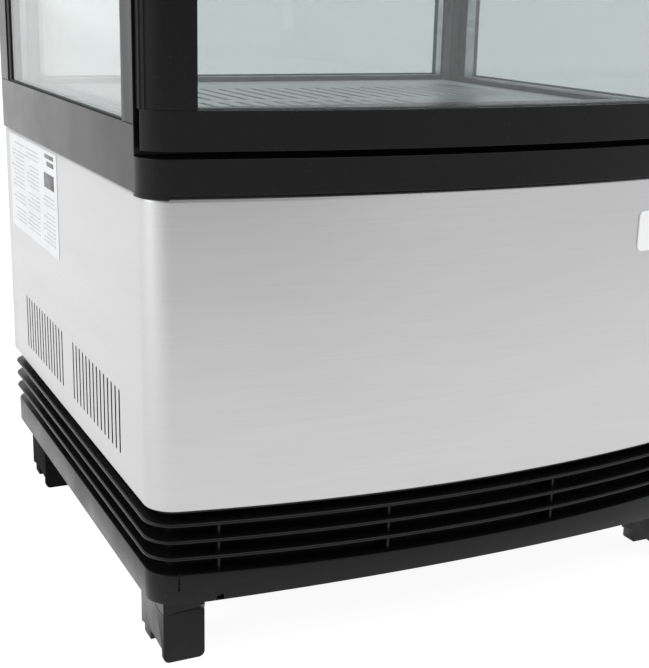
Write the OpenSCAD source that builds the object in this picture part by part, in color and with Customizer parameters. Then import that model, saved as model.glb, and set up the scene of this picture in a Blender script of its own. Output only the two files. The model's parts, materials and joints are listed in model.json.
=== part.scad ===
// Countertop refrigerated merchandiser: four glass sides, a bowed glass door and a brushed steel
// lower housing on a louvred plastic base. X runs across the front, -Y is the front, Z is up, and
// the origin is at the bottom centre of the bounding box. Sizes are in millimetres.

/* [Body] */
// Width of the steel lower housing
body_w = 430; // [420:1:440]
// Depth of the flat sides, from the front corners to the rear
body_d = 390; // [385:1:400]
// How far the front bulges beyond its corners
bow = 25; // [20:1:28]
// Radius of the front corners
corner_r = 20; // [19:0.5:21]
// How far the black mouldings and the door stand proud of the steel
proud = 2; // [1.5:0.5:2.5]

/* [Levels] */
// Height of the feet, up to the underside of the base tray
foot_h = 45; // [42:1:50]
// Height of the base tray's rim
tray_h = 16; // [14:1:18]
// Height of the louvred skirt between the tray and the steel
skirt_h = 41; // [41:1:46]
// Height of the steel lower housing
steel_h = 192; // [190:1:200]
// Height of the black band above the steel
band_h = 21; // [20:1:24]
// Gap above and below the door
door_gap = 4; // [4:0.5:5]
// Height of the door
door_h = 492; // [480:1:560]
// Height of the canopy above the door
canopy_h = 65; // [60:1:70]

/* [Door] */
// Width of the door's stiles as seen from the front
stile_w = 30; // [28:1:32]
// Height of the door's rails as seen from the front
rail_h = 23; // [22:1:26]
// Thickness of the door behind the corner line of its front
door_t = 12; // [11.5:0.5:12.5]
// Thickness of the door's magnetic gasket
gasket_t = 3; // [2.8:0.1:3.5]

/* [Louvres and vents] */
// Number of louvre fins round the base
fin_count = 3; // [2:1:3]
// Distance between louvre fins
fin_pitch = 11; // [10.5:0.5:11.5]
// Thickness of a louvre fin at its edge
fin_t = 2.4; // [2:0.1:3]
// Number of vent slots in each group on the steel sides
slot_count = 14; // [8:1:14]
// Distance between vent slots
slot_pitch = 9; // [8.5:0.1:9.1]

/* [Inside] */
// Diameter of the shelf wires
wire_d = 3.2; // [3:0.1:3.6]
// Number of wires across each shelf
wire_count = 20; // [14:1:22]
// Width of the glass units' seat in the posts
glass_t = 16; // [15:0.5:16]

/* [Hidden] */

$fn = 48;
hair = 0.01;                                // overlap that keeps cuts clean

// depth positions: the bounding box is centred on Y
y_front = -(body_d - bow) / 2;              // line through the two front corners
y_rear = y_front + body_d;                  // rear edge of the steel sides
bow_r = (pow(bow, 2) + pow(body_w / 2, 2)) / (2 * bow);
bow_y = y_front - bow + bow_r;              // centre of the circle that the front lies on
outer_hw = body_w / 2 + proud;              // half width over the black mouldings
y_door = y_front + door_t;                  // back of the door frame
y_post = y_door + gasket_t + 0.5;           // front faces of the posts and sills
y_sill = y_post + 12;                       // back of the sills below and above the door

// levels
z_tray = foot_h;
z_skirt = z_tray + tray_h;
z_steel = z_skirt + skirt_h;
z_band = z_steel + steel_h;
z_deck = z_band + band_h;                   // top of the band, just below the door
z_door = z_deck + door_gap;
z_rail = z_door + 13.5;                     // top of the sills and side rails
z_door_top = z_door + door_h;
z_canopy = z_door_top + door_gap;
z_rail_top = z_canopy - 18;                 // underside of the canopy's sills
z_top = z_canopy + canopy_h;
z_glass = z_rail - 5.5;                     // bottom edge of the side and rear glass
glass_h = z_rail_top + 5.5 - z_glass;

// glass cabinet
post_w = 26;                                // width of a post across X
front_post_d = 23.5;                        // depth of a front post
rear_post_d = 32;                           // depth of a rear post
seat_x = outer_hw - proud;                  // outer face of the side glass
seat_in = seat_x - glass_t;                 // inner face of the side glass
seat_depth = 6;                             // depth of the glazing grooves
pane_t = 3.2;                               // thickness of one pane
spacer_w = 5.5;                             // width of the spacer bars between the panes
inner_hw = outer_hw - post_w;               // half width of the cabinet's inside
y_rear_glass = y_rear - 2;                  // outer face of the rear glass
y_inside_rear = y_rear_glass - glass_t;     // inner face of the rear glass

shelf_z = [z_rail + 150, z_rail + 304];     // levels of the two shelves

// door
axis_x = outer_hw - 11;                     // hinge axis
axis_y = y_front + 3.5;
pin_r = 3;
bush_r = 4.6;
plate_r = 5;                                // half width of the hinge plates
fit = 0.05;                                 // radial clearance of running fits
back_r = 8;                                 // round back corners of the door
open_hw = outer_hw - stile_w;               // half width of the door's clear opening

// feet
foot_l = 46;
foot_w = 27;
foot_x = [body_w / 2 - 7, body_w / 2 - 5];  // outer sides of the front and rear feet
foot_y = [y_front + 1, y_rear - 80];        // front faces of the front and rear feet
boss_h = 12;                                // height of the tray's bosses above the feet
apron_h = 4;                                // how far the tray's apron hangs below its floor
arch_hw = 184;                              // half width of the shallow arch in the apron's front

// machinery
fan_x = 105;                                // condenser fan axis
fan_z = z_skirt + 77;
comp_x = -100;                              // compressor centre
comp_y = 95;
comp_r = 62;
comp_base_z = z_tray + 10;                  // underside of the compressor's foot plate
evap_z = z_band - 66;                       // underside of the evaporator box
evap_fan_x = 100;                           // evaporator fan axis
evap_fan_y = 30;
panel_y = y_rear - 13;                      // inner face of the rear service panel
knob_x = 150;
knob_z = z_band - 36;
rocker_x = 100;

black = [0.07, 0.07, 0.075];
steel = [0.75, 0.75, 0.76];
glass_tint = [0.75, 0.86, 0.88, 0.35];
galvanised = [0.62, 0.64, 0.66];
copper = [0.72, 0.42, 0.28];
white = [0.92, 0.93, 0.93];

// ---------------------------------------------------------------- shared shapes

// outline of the body seen from above, grown outwards by o
module plan(o = 0, rear_r = 6) {
    r = corner_r + o;
    hw = body_w / 2 + o;
    arc_r = bow_r + o;
    cx = hw - r;
    cy = bow_y - sqrt(pow(arc_r - r, 2) - pow(cx, 2));
    tx = cx * arc_r / (arc_r - r);
    y1 = y_rear + o;
    intersection() {
        translate([0, bow_y]) circle(r = arc_r, $fn = 720);
        translate([-tx, bow_y - arc_r - 1]) square([2 * tx, cy - bow_y + arc_r + 1]);
    }
    for (s = [-1, 1]) {
        translate([s * cx, cy]) circle(r = r, $fn = 96);
        translate([s * (hw - rear_r), y1 - rear_r]) circle(r = rear_r);
    }
    translate([-hw, cy]) square([2 * hw, y1 - rear_r - cy]);
    translate([-hw + rear_r, cy]) square([2 * (hw - rear_r), y1 - cy]);
}

// solid slab of the plan between two levels
module slab(z0, z1, o = 0, rear_r = 6) {
    translate([0, 0, z0]) linear_extrude(z1 - z0) plan(o, rear_r);
}

// closed ring that follows the plan between two levels
module ring(z0, z1, o = 0, wall = 3, rear_r = 6) {
    translate([0, 0, z0]) linear_extrude(z1 - z0) difference() {
        plan(o, rear_r);
        plan(o - wall, max(rear_r - wall, 1));
    }
}

// plate that follows the bow of the front, from offset o_in out to offset o_out
module bow_plate(o_in, o_out, hw, z0, z1) {
    translate([0, 0, z0]) linear_extrude(z1 - z0) intersection() {
        difference() {
            translate([0, bow_y]) circle(r = bow_r + o_out, $fn = 720);
            translate([0, bow_y]) circle(r = bow_r + o_in, $fn = 720);
        }
        translate([-hw, y_front - bow - 10]) square([2 * hw, bow + 40]);
    }
}

// box given by its two opposite corners
module block(a, b) {
    translate(a) cube(b - a);
}

// cylinder between two levels, standing on Z
module post_z(x, y, z0, z1, r) {
    translate([x, y, z0]) cylinder(h = z1 - z0, r = r);
}

// cylinder along Y between two depths
module rod_y(x, z, y0, y1, r) {
    translate([x, y0, z]) rotate([-90, 0, 0]) cylinder(h = y1 - y0, r = r);
}

// cylinder along X between two places
module rod_x(y, z, x0, x1, r) {
    translate([x0, y, z]) rotate([0, 90, 0]) cylinder(h = x1 - x0, r = r);
}

// mirrors its children to the other side as well
module both_sides() {
    children();
    mirror([1, 0, 0]) children();
}

// pan-head screw with a cross recess, its head facing +Y at depth y
module screw_y(x, y, z, head_r = 3.6, shank_r = 1.8, l = 9) {
    difference() {
        union() {
            rod_y(x, z, y, y + 2.2, head_r);
            rod_y(x, z, y - l, y + hair, shank_r);
        }
        for (a = [0, 90]) translate([x, y + 1.2, z]) rotate([0, a, 0])
            translate([-2.2, 0, -0.45]) cube([4.4, 2, 0.9]);
    }
}

// ---------------------------------------------------------------- base

// boss under the tray above a foot's front; its front leans in down to the foot, its rear slopes up
// to the tray's underside and its inner side narrows forwards
module boss(side, k, lead) {
    z0 = z_tray - boss_h;
    x0 = foot_x[k] - foot_w;
    intersection() {
        translate([side * (foot_x[k] - foot_w / 2) - foot_w / 2, foot_y[k], 0])
            rotate([90, 0, 90]) linear_extrude(foot_w)
                polygon([[-0.5, z0], [15, z0], [24, z_tray + 0.5], [-lead, z_tray + 0.5],
                    [-lead, z0 + lead - 0.5]]);
        translate([0, foot_y[k], z0 - 1]) linear_extrude(boss_h + 3)
            polygon([[side * x0, 30], [side * x0, 0], [side * (x0 + 0.3 * lead), -lead],
                [side * (foot_x[k] + 1), -lead], [side * (foot_x[k] + 1), 30]]);
    }
}

module base_tray() {
    color(black) difference() {
        union() {
            slab(z_tray, z_skirt, 0, 15);
            ring(z_tray - apron_h, z_tray + hair, 0, 3, 15);
            intersection() {
                for (s = [-1, 1]) boss(s, 0, 12);
                slab(z_tray - boss_h, z_tray + 1, 0, 15);
            }
            for (s = [-1, 1]) boss(s, 1, 1.5);
        }
        slab(z_tray + 3, z_skirt - 3, -3, 12);
        slab(z_skirt - 3 - hair, z_skirt + 1, -14, 6);
        // shallow arch under the front of the apron
        intersection() {
            ring(z_tray - 5, z_tray + 2, 1, 4 + hair, 15);
            translate([0, y_front + 5, 0]) rotate([90, 0, 0]) linear_extrude(bow + 10)
                polygon(concat([[arch_hw, z_tray - 6], [-arch_hw, z_tray - 6]],
                    [for (i = [-8:8]) [i * arch_hw / 8, z_tray + 1.2 - 4.9 * pow(i / 8, 2)]]));
        }
        for (s = [-1, 1]) {
            // moulding line and small blind notch next to each front foot
            translate([s * 199, y_front - 3.2, z_tray + 5]) cylinder(h = tray_h, r = 0.8);
            block([s * 174 - 2.2, y_front - 20, z_tray - 4.5], [s * 174 + 2.2, y_front - 6.2, z_tray + 1]);
        }
        // air intake slots in the tray's floor
        for (i = [0:11]) block([-150 + i * 26, -90, z_tray - 1], [-142 + i * 26, 20, z_tray + 4]);
        // spigot holes above the feet
        for (s = [-1, 1], k = [0, 1])
            post_z(s * (foot_x[k] - foot_w / 2), foot_y[k] + foot_l - 16, z_tray - 1, z_tray + 4, 4.1);
    }
}

module louvre_skirt() {
    z_fins = z_skirt + 1 + fin_count * fin_pitch;   // top of the highest fin
    rib_x = [-173.5, -63, 63, 173.5];               // ribs between the fins at the front
    color(black) {
        ring(z_skirt, z_steel - 3, -14, 3, 3);
        ring(z_steel - 3 - hair, z_steel, -5, 12, 4);
        for (i = [1:fin_count])
            ring(z_skirt + 1 + i * fin_pitch - fin_t, z_skirt + 1 + i * fin_pitch, 1.5, 15.6, 15);
        intersection() {
            ring(z_skirt, z_fins - 1, -4, 10.1, 12);
            for (x = rib_x) block([x - 0.8, y_front - bow - 5, z_skirt], [x + 0.8, y_front + 20, z_fins]);
        }
        intersection() {
            ring(z_skirt, z_fins - 1, -4, 10.1, 12);
            for (x = [-120, 0, 120]) block([x - 0.8, y_rear - 20, z_skirt], [x + 0.8, y_rear + 2, z_fins]);
        }
    }
}

// moulded foot: front plate, two side walls that end above the ground, a heel set in behind them,
// top and spigot
module foot(side, k) {
    x0 = side * (foot_x[k] - foot_w / 2) - foot_w / 2;
    y0 = foot_y[k];
    z1 = z_tray - boss_h - 0.1;
    z2 = z_tray - 0.1;
    spigot_y = y0 + foot_l - 16;
    color(black) difference() {
        union() {
            // front plate with rounded lower corners
            translate([0, y0 + 4, 0]) rotate([90, 0, 0]) linear_extrude(4) {
                translate([x0, 4]) square([foot_w, z1 - 4]);
                translate([x0 + 4, 0]) square([foot_w - 8, 9]);
                for (x = [x0 + 4, x0 + foot_w - 4]) translate([x, 4]) circle(r = 4);
            }
            for (x = [x0, x0 + foot_w - 3])
                translate([x, y0, 0]) rotate([90, 0, 90]) linear_extrude(3)
                    polygon([[0.5, 8.5], [6, 8.5], [20, 10], [34, 10], [foot_l, 7.5], [foot_l, z2],
                        [24.5, z2], [15.3, z1], [0.5, z1]]);
            // heel: two cheeks and a cross wall
            for (x = [x0 + 2, x0 + foot_w - 5])
                translate([x, y0, 0]) rotate([90, 0, 90]) linear_extrude(3)
                    polygon([[33, 0], [foot_l - 1, 0], [foot_l, 1], [foot_l, 14], [33, 14]]);
            block([x0 + 2, y0 + 33, 0], [x0 + foot_w - 2, y0 + 36, z2]);
            block([x0, y0 + 0.5, z1 - 3], [x0 + foot_w, y0 + 15.3, z1]);
            block([x0, y0 + 24.5, z2 - 3], [x0 + foot_w, y0 + foot_l, z2]);
            post_z(x0 + foot_w / 2, spigot_y, z2 - 1, z_tray + 2, 4);
        }
        post_z(x0 + foot_w / 2, spigot_y, z2 - 8, z_tray + 3, 1.6);
    }
}

module foot_front_left() { foot(-1, 0); }
module foot_front_right() { foot(1, 0); }
module foot_rear_left() { foot(-1, 1); }
module foot_rear_right() { foot(1, 1); }

module chassis_plate() {
    color(galvanised) difference() {
        union() {
            block([-192, -150, z_tray + 3], [192, y_rear - 22, z_tray + 4.5]);
            for (s = [-1, 1]) block([s * 191.2 - 0.8, -150, z_tray + 3],
                [s * 191.2 + 0.8, y_rear - 22, z_skirt - 3.5]);
        }
        for (i = [0:11]) block([-151 + i * 26, -91, z_tray + 2], [-141 + i * 26, 21, z_tray + 6]);
        for (x = [-60, 60], y = [-42, 42])
            post_z(comp_x + x, comp_y + y, z_tray + 2, z_tray + 6, 4.1);
    }
}

// ---------------------------------------------------------------- steel housing

// one group of vertical vent slots through both steel sides
module vent_slots(y0) {
    for (i = [0:slot_count - 1])
        block([-body_w / 2 - 2, y0 + i * slot_pitch - 1.2, z_steel + 17],
            [body_w / 2 + 2, y0 + i * slot_pitch + 1.2, z_steel + 60]);
}

module steel_wrap() {
    color(steel) difference() {
        union() {
            ring(z_steel, z_band, 0, 1, 1.5);
            ring(z_band - 1, z_band, -0.9, 8, 1);
            ring(z_steel, z_steel + 1, -0.9, 10, 1);
        }
        // open rear between the folded edges
        block([-203, y_rear - 40, z_steel - 1], [203, y_rear + 1, z_band + 1]);
        block([-214, y_rear - 9, z_band - 1.5], [214, y_rear - 1, z_band + 1]);
        vent_slots(y_front + 64);
        vent_slots(y_front + 214);
    }
    // folded flanges that carry the service panel
    color(steel) both_sides() block([202, panel_y + 1, z_steel], [203.1, y_rear, z_band - 0.5]);
}

module rear_service_panel() {
    color(black) difference() {
        block([-206, panel_y, z_steel + 1.5], [206, panel_y + 1, z_band - 2]);
        // louvre slots
        for (i = [0:8], x = [-170, -60, 50])
            block([x, panel_y - 1, z_steel + 20 + i * 12], [x + 90, panel_y + 2, z_steel + 24 + i * 12]);
        rod_y(knob_x, knob_z, panel_y - 1, panel_y + 2, 4);
        block([rocker_x - 10, panel_y - 1, knob_z - 12], [rocker_x + 10, panel_y + 2, knob_z + 12]);
        rod_y(175, z_steel + 24, panel_y - 1, panel_y + 2, 8.05);
        for (s = [-1, 1], z = [z_steel + 14, z_band - 96, z_band - 16])
            rod_y(s * 192, z, panel_y - 1, panel_y + 2, 2);
    }
}

module rear_panel_screws() {
    color(steel) for (s = [-1, 1], z = [z_steel + 14, z_band - 96, z_band - 16])
        screw_y(s * 192, panel_y + 1, z);
}

module fascia_band() {
    color(black) difference() {
        union() {
            slab(z_band, z_deck, proud, 8);
            intersection() {
                slab(z_deck - hair, z_rail, proud, 8);
                block([-250, y_post, z_band], [250, 300, z_rail + 1]);
            }
            // lips over the steel at the two front corners
            intersection() {
                ring(z_band - 2, z_band + hair, proud, proud - 0.2, 8);
                both_sides() block([203, y_front - 20, z_band - 3], [230, y_front + 18, z_band + 1]);
            }
        }
        // room for the cabinet floor and the parts below it
        block([-inner_hw, y_sill, z_band - 1], [inner_hw, y_inside_rear, z_rail + 1]);
        // hollow behind the front of the band
        intersection() {
            slab(z_band - 1, z_deck - 3, -1, 6);
            block([-196, -300, z_band - 1], [196, y_post - 2, z_deck]);
        }
        // glazing grooves
        both_sides() block([seat_in, y_post + front_post_d - seat_depth, z_glass - 0.5],
            [seat_x, y_rear - rear_post_d + seat_depth, z_rail + 1]);
        block([-inner_hw - 6, y_inside_rear - hair, z_glass - 0.5],
            [inner_hw + 6, y_rear_glass, z_rail + 1]);
    }
}

module badge() {
    x0 = 118;                               // left edge of the badge
    w = 72;
    h = 27;
    c = 3;                                  // clipped corners
    color(white) intersection() {
        bow_plate(hair, 1.2, x0 + w + 2, z_steel + 141, z_steel + 171);
        translate([x0, 0, z_steel + 142]) rotate([90, 0, 0]) linear_extrude(300)
            polygon([[c, 0], [w - c, 0], [w, c], [w, h - c], [w - c, h], [c, h], [0, h - c], [0, c]]);
    }
}

module rating_label() {
    color(white) block([-body_w / 2 - 0.3, y_front + 212, z_band - 79],
        [-body_w / 2, y_front + 372, z_band - 2]);
}

// ---------------------------------------------------------------- refrigeration

module compressor() {
    color([0.09, 0.09, 0.1]) {
        translate([comp_x, comp_y, comp_base_z]) rotate_extrude($fn = 72)
            intersection() {
                union() {
                    translate([0, 12]) square([comp_r, 108]);
                    translate([comp_r - 40, 118]) circle(r = 40);
                    translate([comp_r - 40, 28]) circle(r = 28);
                    square([comp_r - 40, 158]);
                }
                square([comp_r, 158]);
            }
        difference() {
            block([comp_x - 74, comp_y - 56, comp_base_z], [comp_x + 74, comp_y + 56, comp_base_z + 3]);
            for (x = [-60, 60], y = [-42, 42])
                post_z(comp_x + x, comp_y + y, comp_base_z - 1, comp_base_z + 4, 4.1);
        }
    }
}

module compressor_grommets() {
    color([0.1, 0.1, 0.1]) for (x = [-60, 60], y = [-42, 42]) difference() {
        union() {
            post_z(comp_x + x, comp_y + y, z_tray + 4.5, comp_base_z, 8);
            post_z(comp_x + x, comp_y + y, z_tray + 3.2, comp_base_z + 3, 4.1);
            post_z(comp_x + x, comp_y + y, comp_base_z + 3, comp_base_z + 6, 7);
        }
        post_z(comp_x + x, comp_y + y, z_tray, comp_base_z + 7, 2.5);
    }
}

module compressor_relay_box() {
    color(black) block([comp_x + comp_r + 0.2, comp_y - 22, comp_base_z + 45],
        [comp_x + comp_r + 32, comp_y + 22, comp_base_z + 105]);
}

// finned coil: plates across X with tubes through them
module finned_coil(x0, x1, y0, y1, z0, z1, plates, tube_r, tube_y, tube_z) {
    step = (x1 - x0 - 1) / (plates - 1);
    for (i = [0:plates - 1])
        block([x0 + i * step, y0, z0], [x0 + i * step + 1, y1, z1]);
    for (y = tube_y, z = tube_z) rod_x(y, z, x0 - 8, x1 + 8, tube_r);
}

module condenser_coil() {
    color(galvanised) finned_coil(30, 180, -52, -16, z_tray + 5, z_tray + 145, 16, 4.2,
        [-34], [for (i = [0:4]) z_tray + 22 + i * 26]);
}

module condenser_shroud() {
    color(black) difference() {
        block([25, -78, z_tray + 5], [185, -53, z_tray + 158]);
        block([30, -75, z_tray + 10], [180, -52, z_tray + 153]);
        rod_y(fan_x, fan_z, -80, -60, 68);
    }
}

module condenser_fan_motor() {
    color(galvanised) {
        rod_y(fan_x, fan_z, -135, -100, 24);
        rod_y(fan_x, fan_z, -101, -72, 2.5);
        // bracket down to the chassis plate
        block([fan_x - 18, -128, z_tray + 4.5], [fan_x + 18, -104, z_tray + 6.5]);
        block([fan_x - 12, -121, z_tray + 6], [fan_x + 12, -118, fan_z - 20]);
    }
}

// axial fan: hub on Z with pitched blades, bored for its shaft
module fan(hub_r, tip_r, h, bore_r, blades) {
    difference() {
        union() {
            cylinder(h = h, r = hub_r);
            intersection() {
                for (i = [0:blades - 1]) rotate([0, 0, i * 360 / blades])
                    translate([hub_r - 2, 0, h / 2]) rotate([32, 0, 0])
                        translate([0, -tip_r * 0.27, -0.8]) cube([tip_r, tip_r * 0.54, 1.6]);
                translate([0, 0, -h]) cylinder(h = 3 * h, r = tip_r, $fn = 72);
            }
        }
        translate([0, 0, -1]) cylinder(h = h + 2, r = bore_r);
    }
}

module condenser_fan() {
    color([0.2, 0.2, 0.22]) translate([fan_x, -97, fan_z]) rotate([-90, 0, 0])
        fan(14, 62, 17, 2.5 + fit, 5);
}

module refrigerant_pipes() {
    r = 3.2;
    y_run = -34;                            // the condenser tubes' plane
    z_hot = z_tray + 100;                   // one of the condenser's tubes
    z_liquid = z_tray + 22;                 // its lowest tube
    x_cap = -75;                            // capillary up to the evaporator
    color(copper) {
        // suction line from the evaporator box down to the shell
        post_z(comp_x - 30, comp_y - 40, comp_base_z + 140, evap_z, r);
        // discharge line from the shell across to the condenser
        rod_y(comp_x, z_hot, y_run, comp_y - comp_r + 4, r);
        translate([comp_x, y_run, z_hot]) sphere(r = r);
        rod_x(y_run, z_hot, comp_x, 22, r);
        // filter drier and capillary
        rod_x(y_run, z_liquid, -58, -2, 9);
        rod_x(y_run, z_liquid, x_cap, 22, 2.4);
        post_z(x_cap, y_run, z_liquid - 2, evap_z, 1.6);
    }
}

module condensate_pan() {
    color(black) difference() {
        block([0, 60, z_tray + 4.5], [186, y_rear - 26, z_tray + 34]);
        block([2, 62, z_tray + 7], [184, y_rear - 28, z_tray + 35]);
    }
}

module drain_tube() {
    color(white) difference() {
        post_z(120, 110, z_tray + 20, evap_z, 7);
        post_z(120, 110, z_tray + 19, evap_z + 1, 5);
    }
}

module evaporator_box() {
    color(white) difference() {
        block([-170, -120, evap_z], [180, 150, z_band - 0.5]);
        block([-155, -105, evap_z + 12], [165, 135, z_band]);
        post_z(120, 110, evap_z - 1, evap_z + 13, 5);
    }
}

module evaporator_coil() {
    color([0.8, 0.82, 0.84]) finned_coil(-140, 20, -70, 100, evap_z + 14, z_band - 8, 14, 4,
        [-50, -10, 30, 70], [evap_z + 34]);
}

module evaporator_fan_motor() {
    color(galvanised) {
        post_z(evap_fan_x, evap_fan_y, evap_z + 12, evap_z + 34, 18);
        post_z(evap_fan_x, evap_fan_y, evap_z + 33, evap_z + 50, 2);
    }
}

module evaporator_fan() {
    color(black) translate([evap_fan_x, evap_fan_y, evap_z + 36]) fan(12, 46, 12, 2 + fit, 7);
}

// ---------------------------------------------------------------- controls

module control_box() {
    color(galvanised) difference() {
        union() {
            difference() {
                block([72, panel_y - 36, knob_z - 28], [188, panel_y - 0.2, knob_z + 28]);
                block([74, panel_y - 34, knob_z - 26], [186, panel_y - 2.2, knob_z + 29]);
            }
            // thermostat shaft
            rod_y(knob_x, knob_z, panel_y - 3, panel_y + 9, 3);
            // ears that carry the rocker on its pin
            for (x = [rocker_x - 9.5, rocker_x + 7])
                block([x, panel_y - 1, knob_z - 11.5], [x + 2.5, panel_y + 4, knob_z + 11.5]);
            rod_x(panel_y + 1.5, knob_z, rocker_x - 8, rocker_x + 8, 1.5);
        }
        block([rocker_x - 7, panel_y - 12, knob_z - 11], [rocker_x + 7, panel_y - 0.1, knob_z + 11]);
    }
}

module thermostat_knob() {
    color([0.15, 0.15, 0.16]) difference() {
        union() {
            rod_y(knob_x, knob_z, panel_y + 1.5, panel_y + 4, 16);
            rod_y(knob_x, knob_z, panel_y + 4 - hair, panel_y + 12, 12);
        }
        rod_y(knob_x, knob_z, panel_y, panel_y + 9.4, 3 + fit);
        for (i = [0:17]) translate([knob_x, 0, knob_z]) rotate([0, i * 20, 0])
            rod_y(12.3, 0, panel_y + 4.5, panel_y + 13, 1);
        block([knob_x - 0.8, panel_y + 11.2, knob_z + 2], [knob_x + 0.8, panel_y + 13, knob_z + 10]);
    }
}

module light_rocker() {
    color(black) difference() {
        translate([rocker_x - 6.6, 0, knob_z]) rotate([90, 0, 90]) linear_extrude(13.2)
            polygon([[panel_y - 3, -7], [panel_y + 4, -9.5], [panel_y + 5.4, -9.5],
                [panel_y + 4.6, 0], [panel_y + 7.5, 9.5], [panel_y + 4, 9.5], [panel_y - 3, 7]]);
        rod_x(panel_y + 1.5, knob_z, rocker_x - 8, rocker_x + 8, 1.5 + fit);
    }
}

module cord_gland() {
    color(black) difference() {
        union() {
            rod_y(175, z_steel + 24, panel_y - 6, panel_y + 2, 8);
            rod_y(175, z_steel + 24, panel_y + 1, panel_y + 3.5, 11);
            rod_y(175, z_steel + 24, panel_y - 8, panel_y - 0.2, 11);
        }
        rod_y(175, z_steel + 24, panel_y - 9, panel_y + 5, 4);
    }
}

// ---------------------------------------------------------------- cabinet

module cabinet_floor() {
    color(white) difference() {
        block([-inner_hw, y_sill, z_band], [inner_hw, y_inside_rear, z_rail - 4]);
        block([-150, -100, z_band - 1], [160, 130, z_rail]);
        block([-160, -110, z_rail - 6], [170, 140, z_rail]);
    }
}

module floor_grille() {
    color(steel) difference() {
        block([-159.5, -109.5, z_rail - 6], [169.5, 139.5, z_rail - 4]);
        for (i = [0:21], y = [-96, 18]) if (i < 14 || y > 0)
            block([-148 + i * 14.2, y, z_rail - 7], [-143 + i * 14.2, y + 98, z_rail - 3]);
    }
}

// front posts stand behind the door, with a groove for the side glass
module front_post() {
    difference() {
        intersection() {
            slab(z_rail, z_rail_top, proud, 8);
            block([-outer_hw - 1, y_post, z_rail - 1],
                [-inner_hw, y_post + front_post_d, z_rail_top + 1]);
        }
        block([-seat_x, y_post + front_post_d - seat_depth, z_rail - 1],
            [-seat_in, y_post + front_post_d + 1, z_rail_top + 1]);
        shelf_slots(-1, y_post + 18);
    }
}

// rear posts are deeper, with grooves for the side and rear glass
module rear_post() {
    y0 = y_rear - rear_post_d;
    difference() {
        intersection() {
            slab(z_rail, z_rail_top, proud, 8);
            block([-outer_hw - 1, y0, z_rail - 1], [-inner_hw, y_rear + 5, z_rail_top + 1]);
        }
        block([-seat_x, y0 - 1, z_rail - 1], [-seat_in, y0 + seat_depth, z_rail_top + 1]);
        block([-inner_hw - 6, y_inside_rear, z_rail - 1],
            [-inner_hw + 1, y_rear_glass, z_rail_top + 1]);
        shelf_slots(-1, y0 + 8);
    }
}

// row of slots for the shelf clips in a post's inner face
module shelf_slots(side, y) {
    for (z = [z_rail + 55:22:z_rail_top - 40])
        block([side * inner_hw - 3, y - 2, z], [side * inner_hw + 3, y + 2, z + 12]);
}

module post_front_left() { color(black) front_post(); }
module post_front_right() { color(black) mirror([1, 0, 0]) front_post(); }
module post_rear_left() { color(black) rear_post(); }
module post_rear_right() { color(black) mirror([1, 0, 0]) rear_post(); }

// the two panes of a side glass unit
module side_panes() {
    y0 = y_post + front_post_d - seat_depth + 0.5;
    y1 = y_rear - rear_post_d + seat_depth - 0.5;
    for (x = [seat_in + 0.3, seat_x - 0.3 - pane_t])
        block([x, y0, z_glass], [x + pane_t, y1, z_glass + glass_h]);
}

module side_glass_left() { color(glass_tint) mirror([1, 0, 0]) side_panes(); }
module side_glass_right() { color(glass_tint) side_panes(); }

module rear_glass() {
    color(glass_tint) for (y = [y_inside_rear + 0.3, y_rear_glass - 0.3 - pane_t])
        block([-inner_hw - 5.5, y, z_glass], [inner_hw + 5.5, y + pane_t, z_glass + glass_h]);
}

// rectangular frame in the X plane or the Y plane, of bar width w
module frame_x(x0, x1, y0, y1, z0, z1, w) {
    difference() {
        block([x0, y0, z0], [x1, y1, z1]);
        block([x0 - 1, y0 + w, z0 + w], [x1 + 1, y1 - w, z1 - w]);
    }
}
module frame_y(x0, x1, y0, y1, z0, z1, w) {
    difference() {
        block([x0, y0, z0], [x1, y1, z1]);
        block([x0 + w, y0 - 1, z0 + w], [x1 - w, y1 + 1, z1 - w]);
    }
}

module glazing_spacers() {
    y0 = y_post + front_post_d - seat_depth + 0.5;
    y1 = y_rear - rear_post_d + seat_depth - 0.5;
    color(galvanised) {
        both_sides() frame_x(seat_in + 0.3 + pane_t, seat_x - 0.3 - pane_t, y0, y1,
            z_glass, z_glass + glass_h, spacer_w);
        both_sides() block([seat_in + 0.3 + pane_t, y1 - 13, z_glass + 5],
            [seat_x - 0.3 - pane_t, y1 - 5, z_glass + glass_h - 5]);
        frame_y(-inner_hw - 5.5, inner_hw + 5.5, y_inside_rear + 0.3 + pane_t,
            y_rear_glass - 0.3 - pane_t, z_glass, z_glass + glass_h, spacer_w);
    }
}

module glazing_gaskets() {
    y0 = y_post + front_post_d;
    y1 = y_rear - rear_post_d;
    color(black) {
        both_sides() frame_x(seat_x - 0.3, seat_x + 0.9, y0, y1, z_rail, z_rail_top, 1.3);
        both_sides() block([seat_x - 0.3, y1 - 7, z_rail + 1], [seat_x + 0.9, y1 - 1, z_rail_top - 1]);
        frame_y(-inner_hw, inner_hw, y_rear_glass - 0.3, y_rear_glass + 0.9, z_rail, z_rail_top, 1.3);
    }
}

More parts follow.
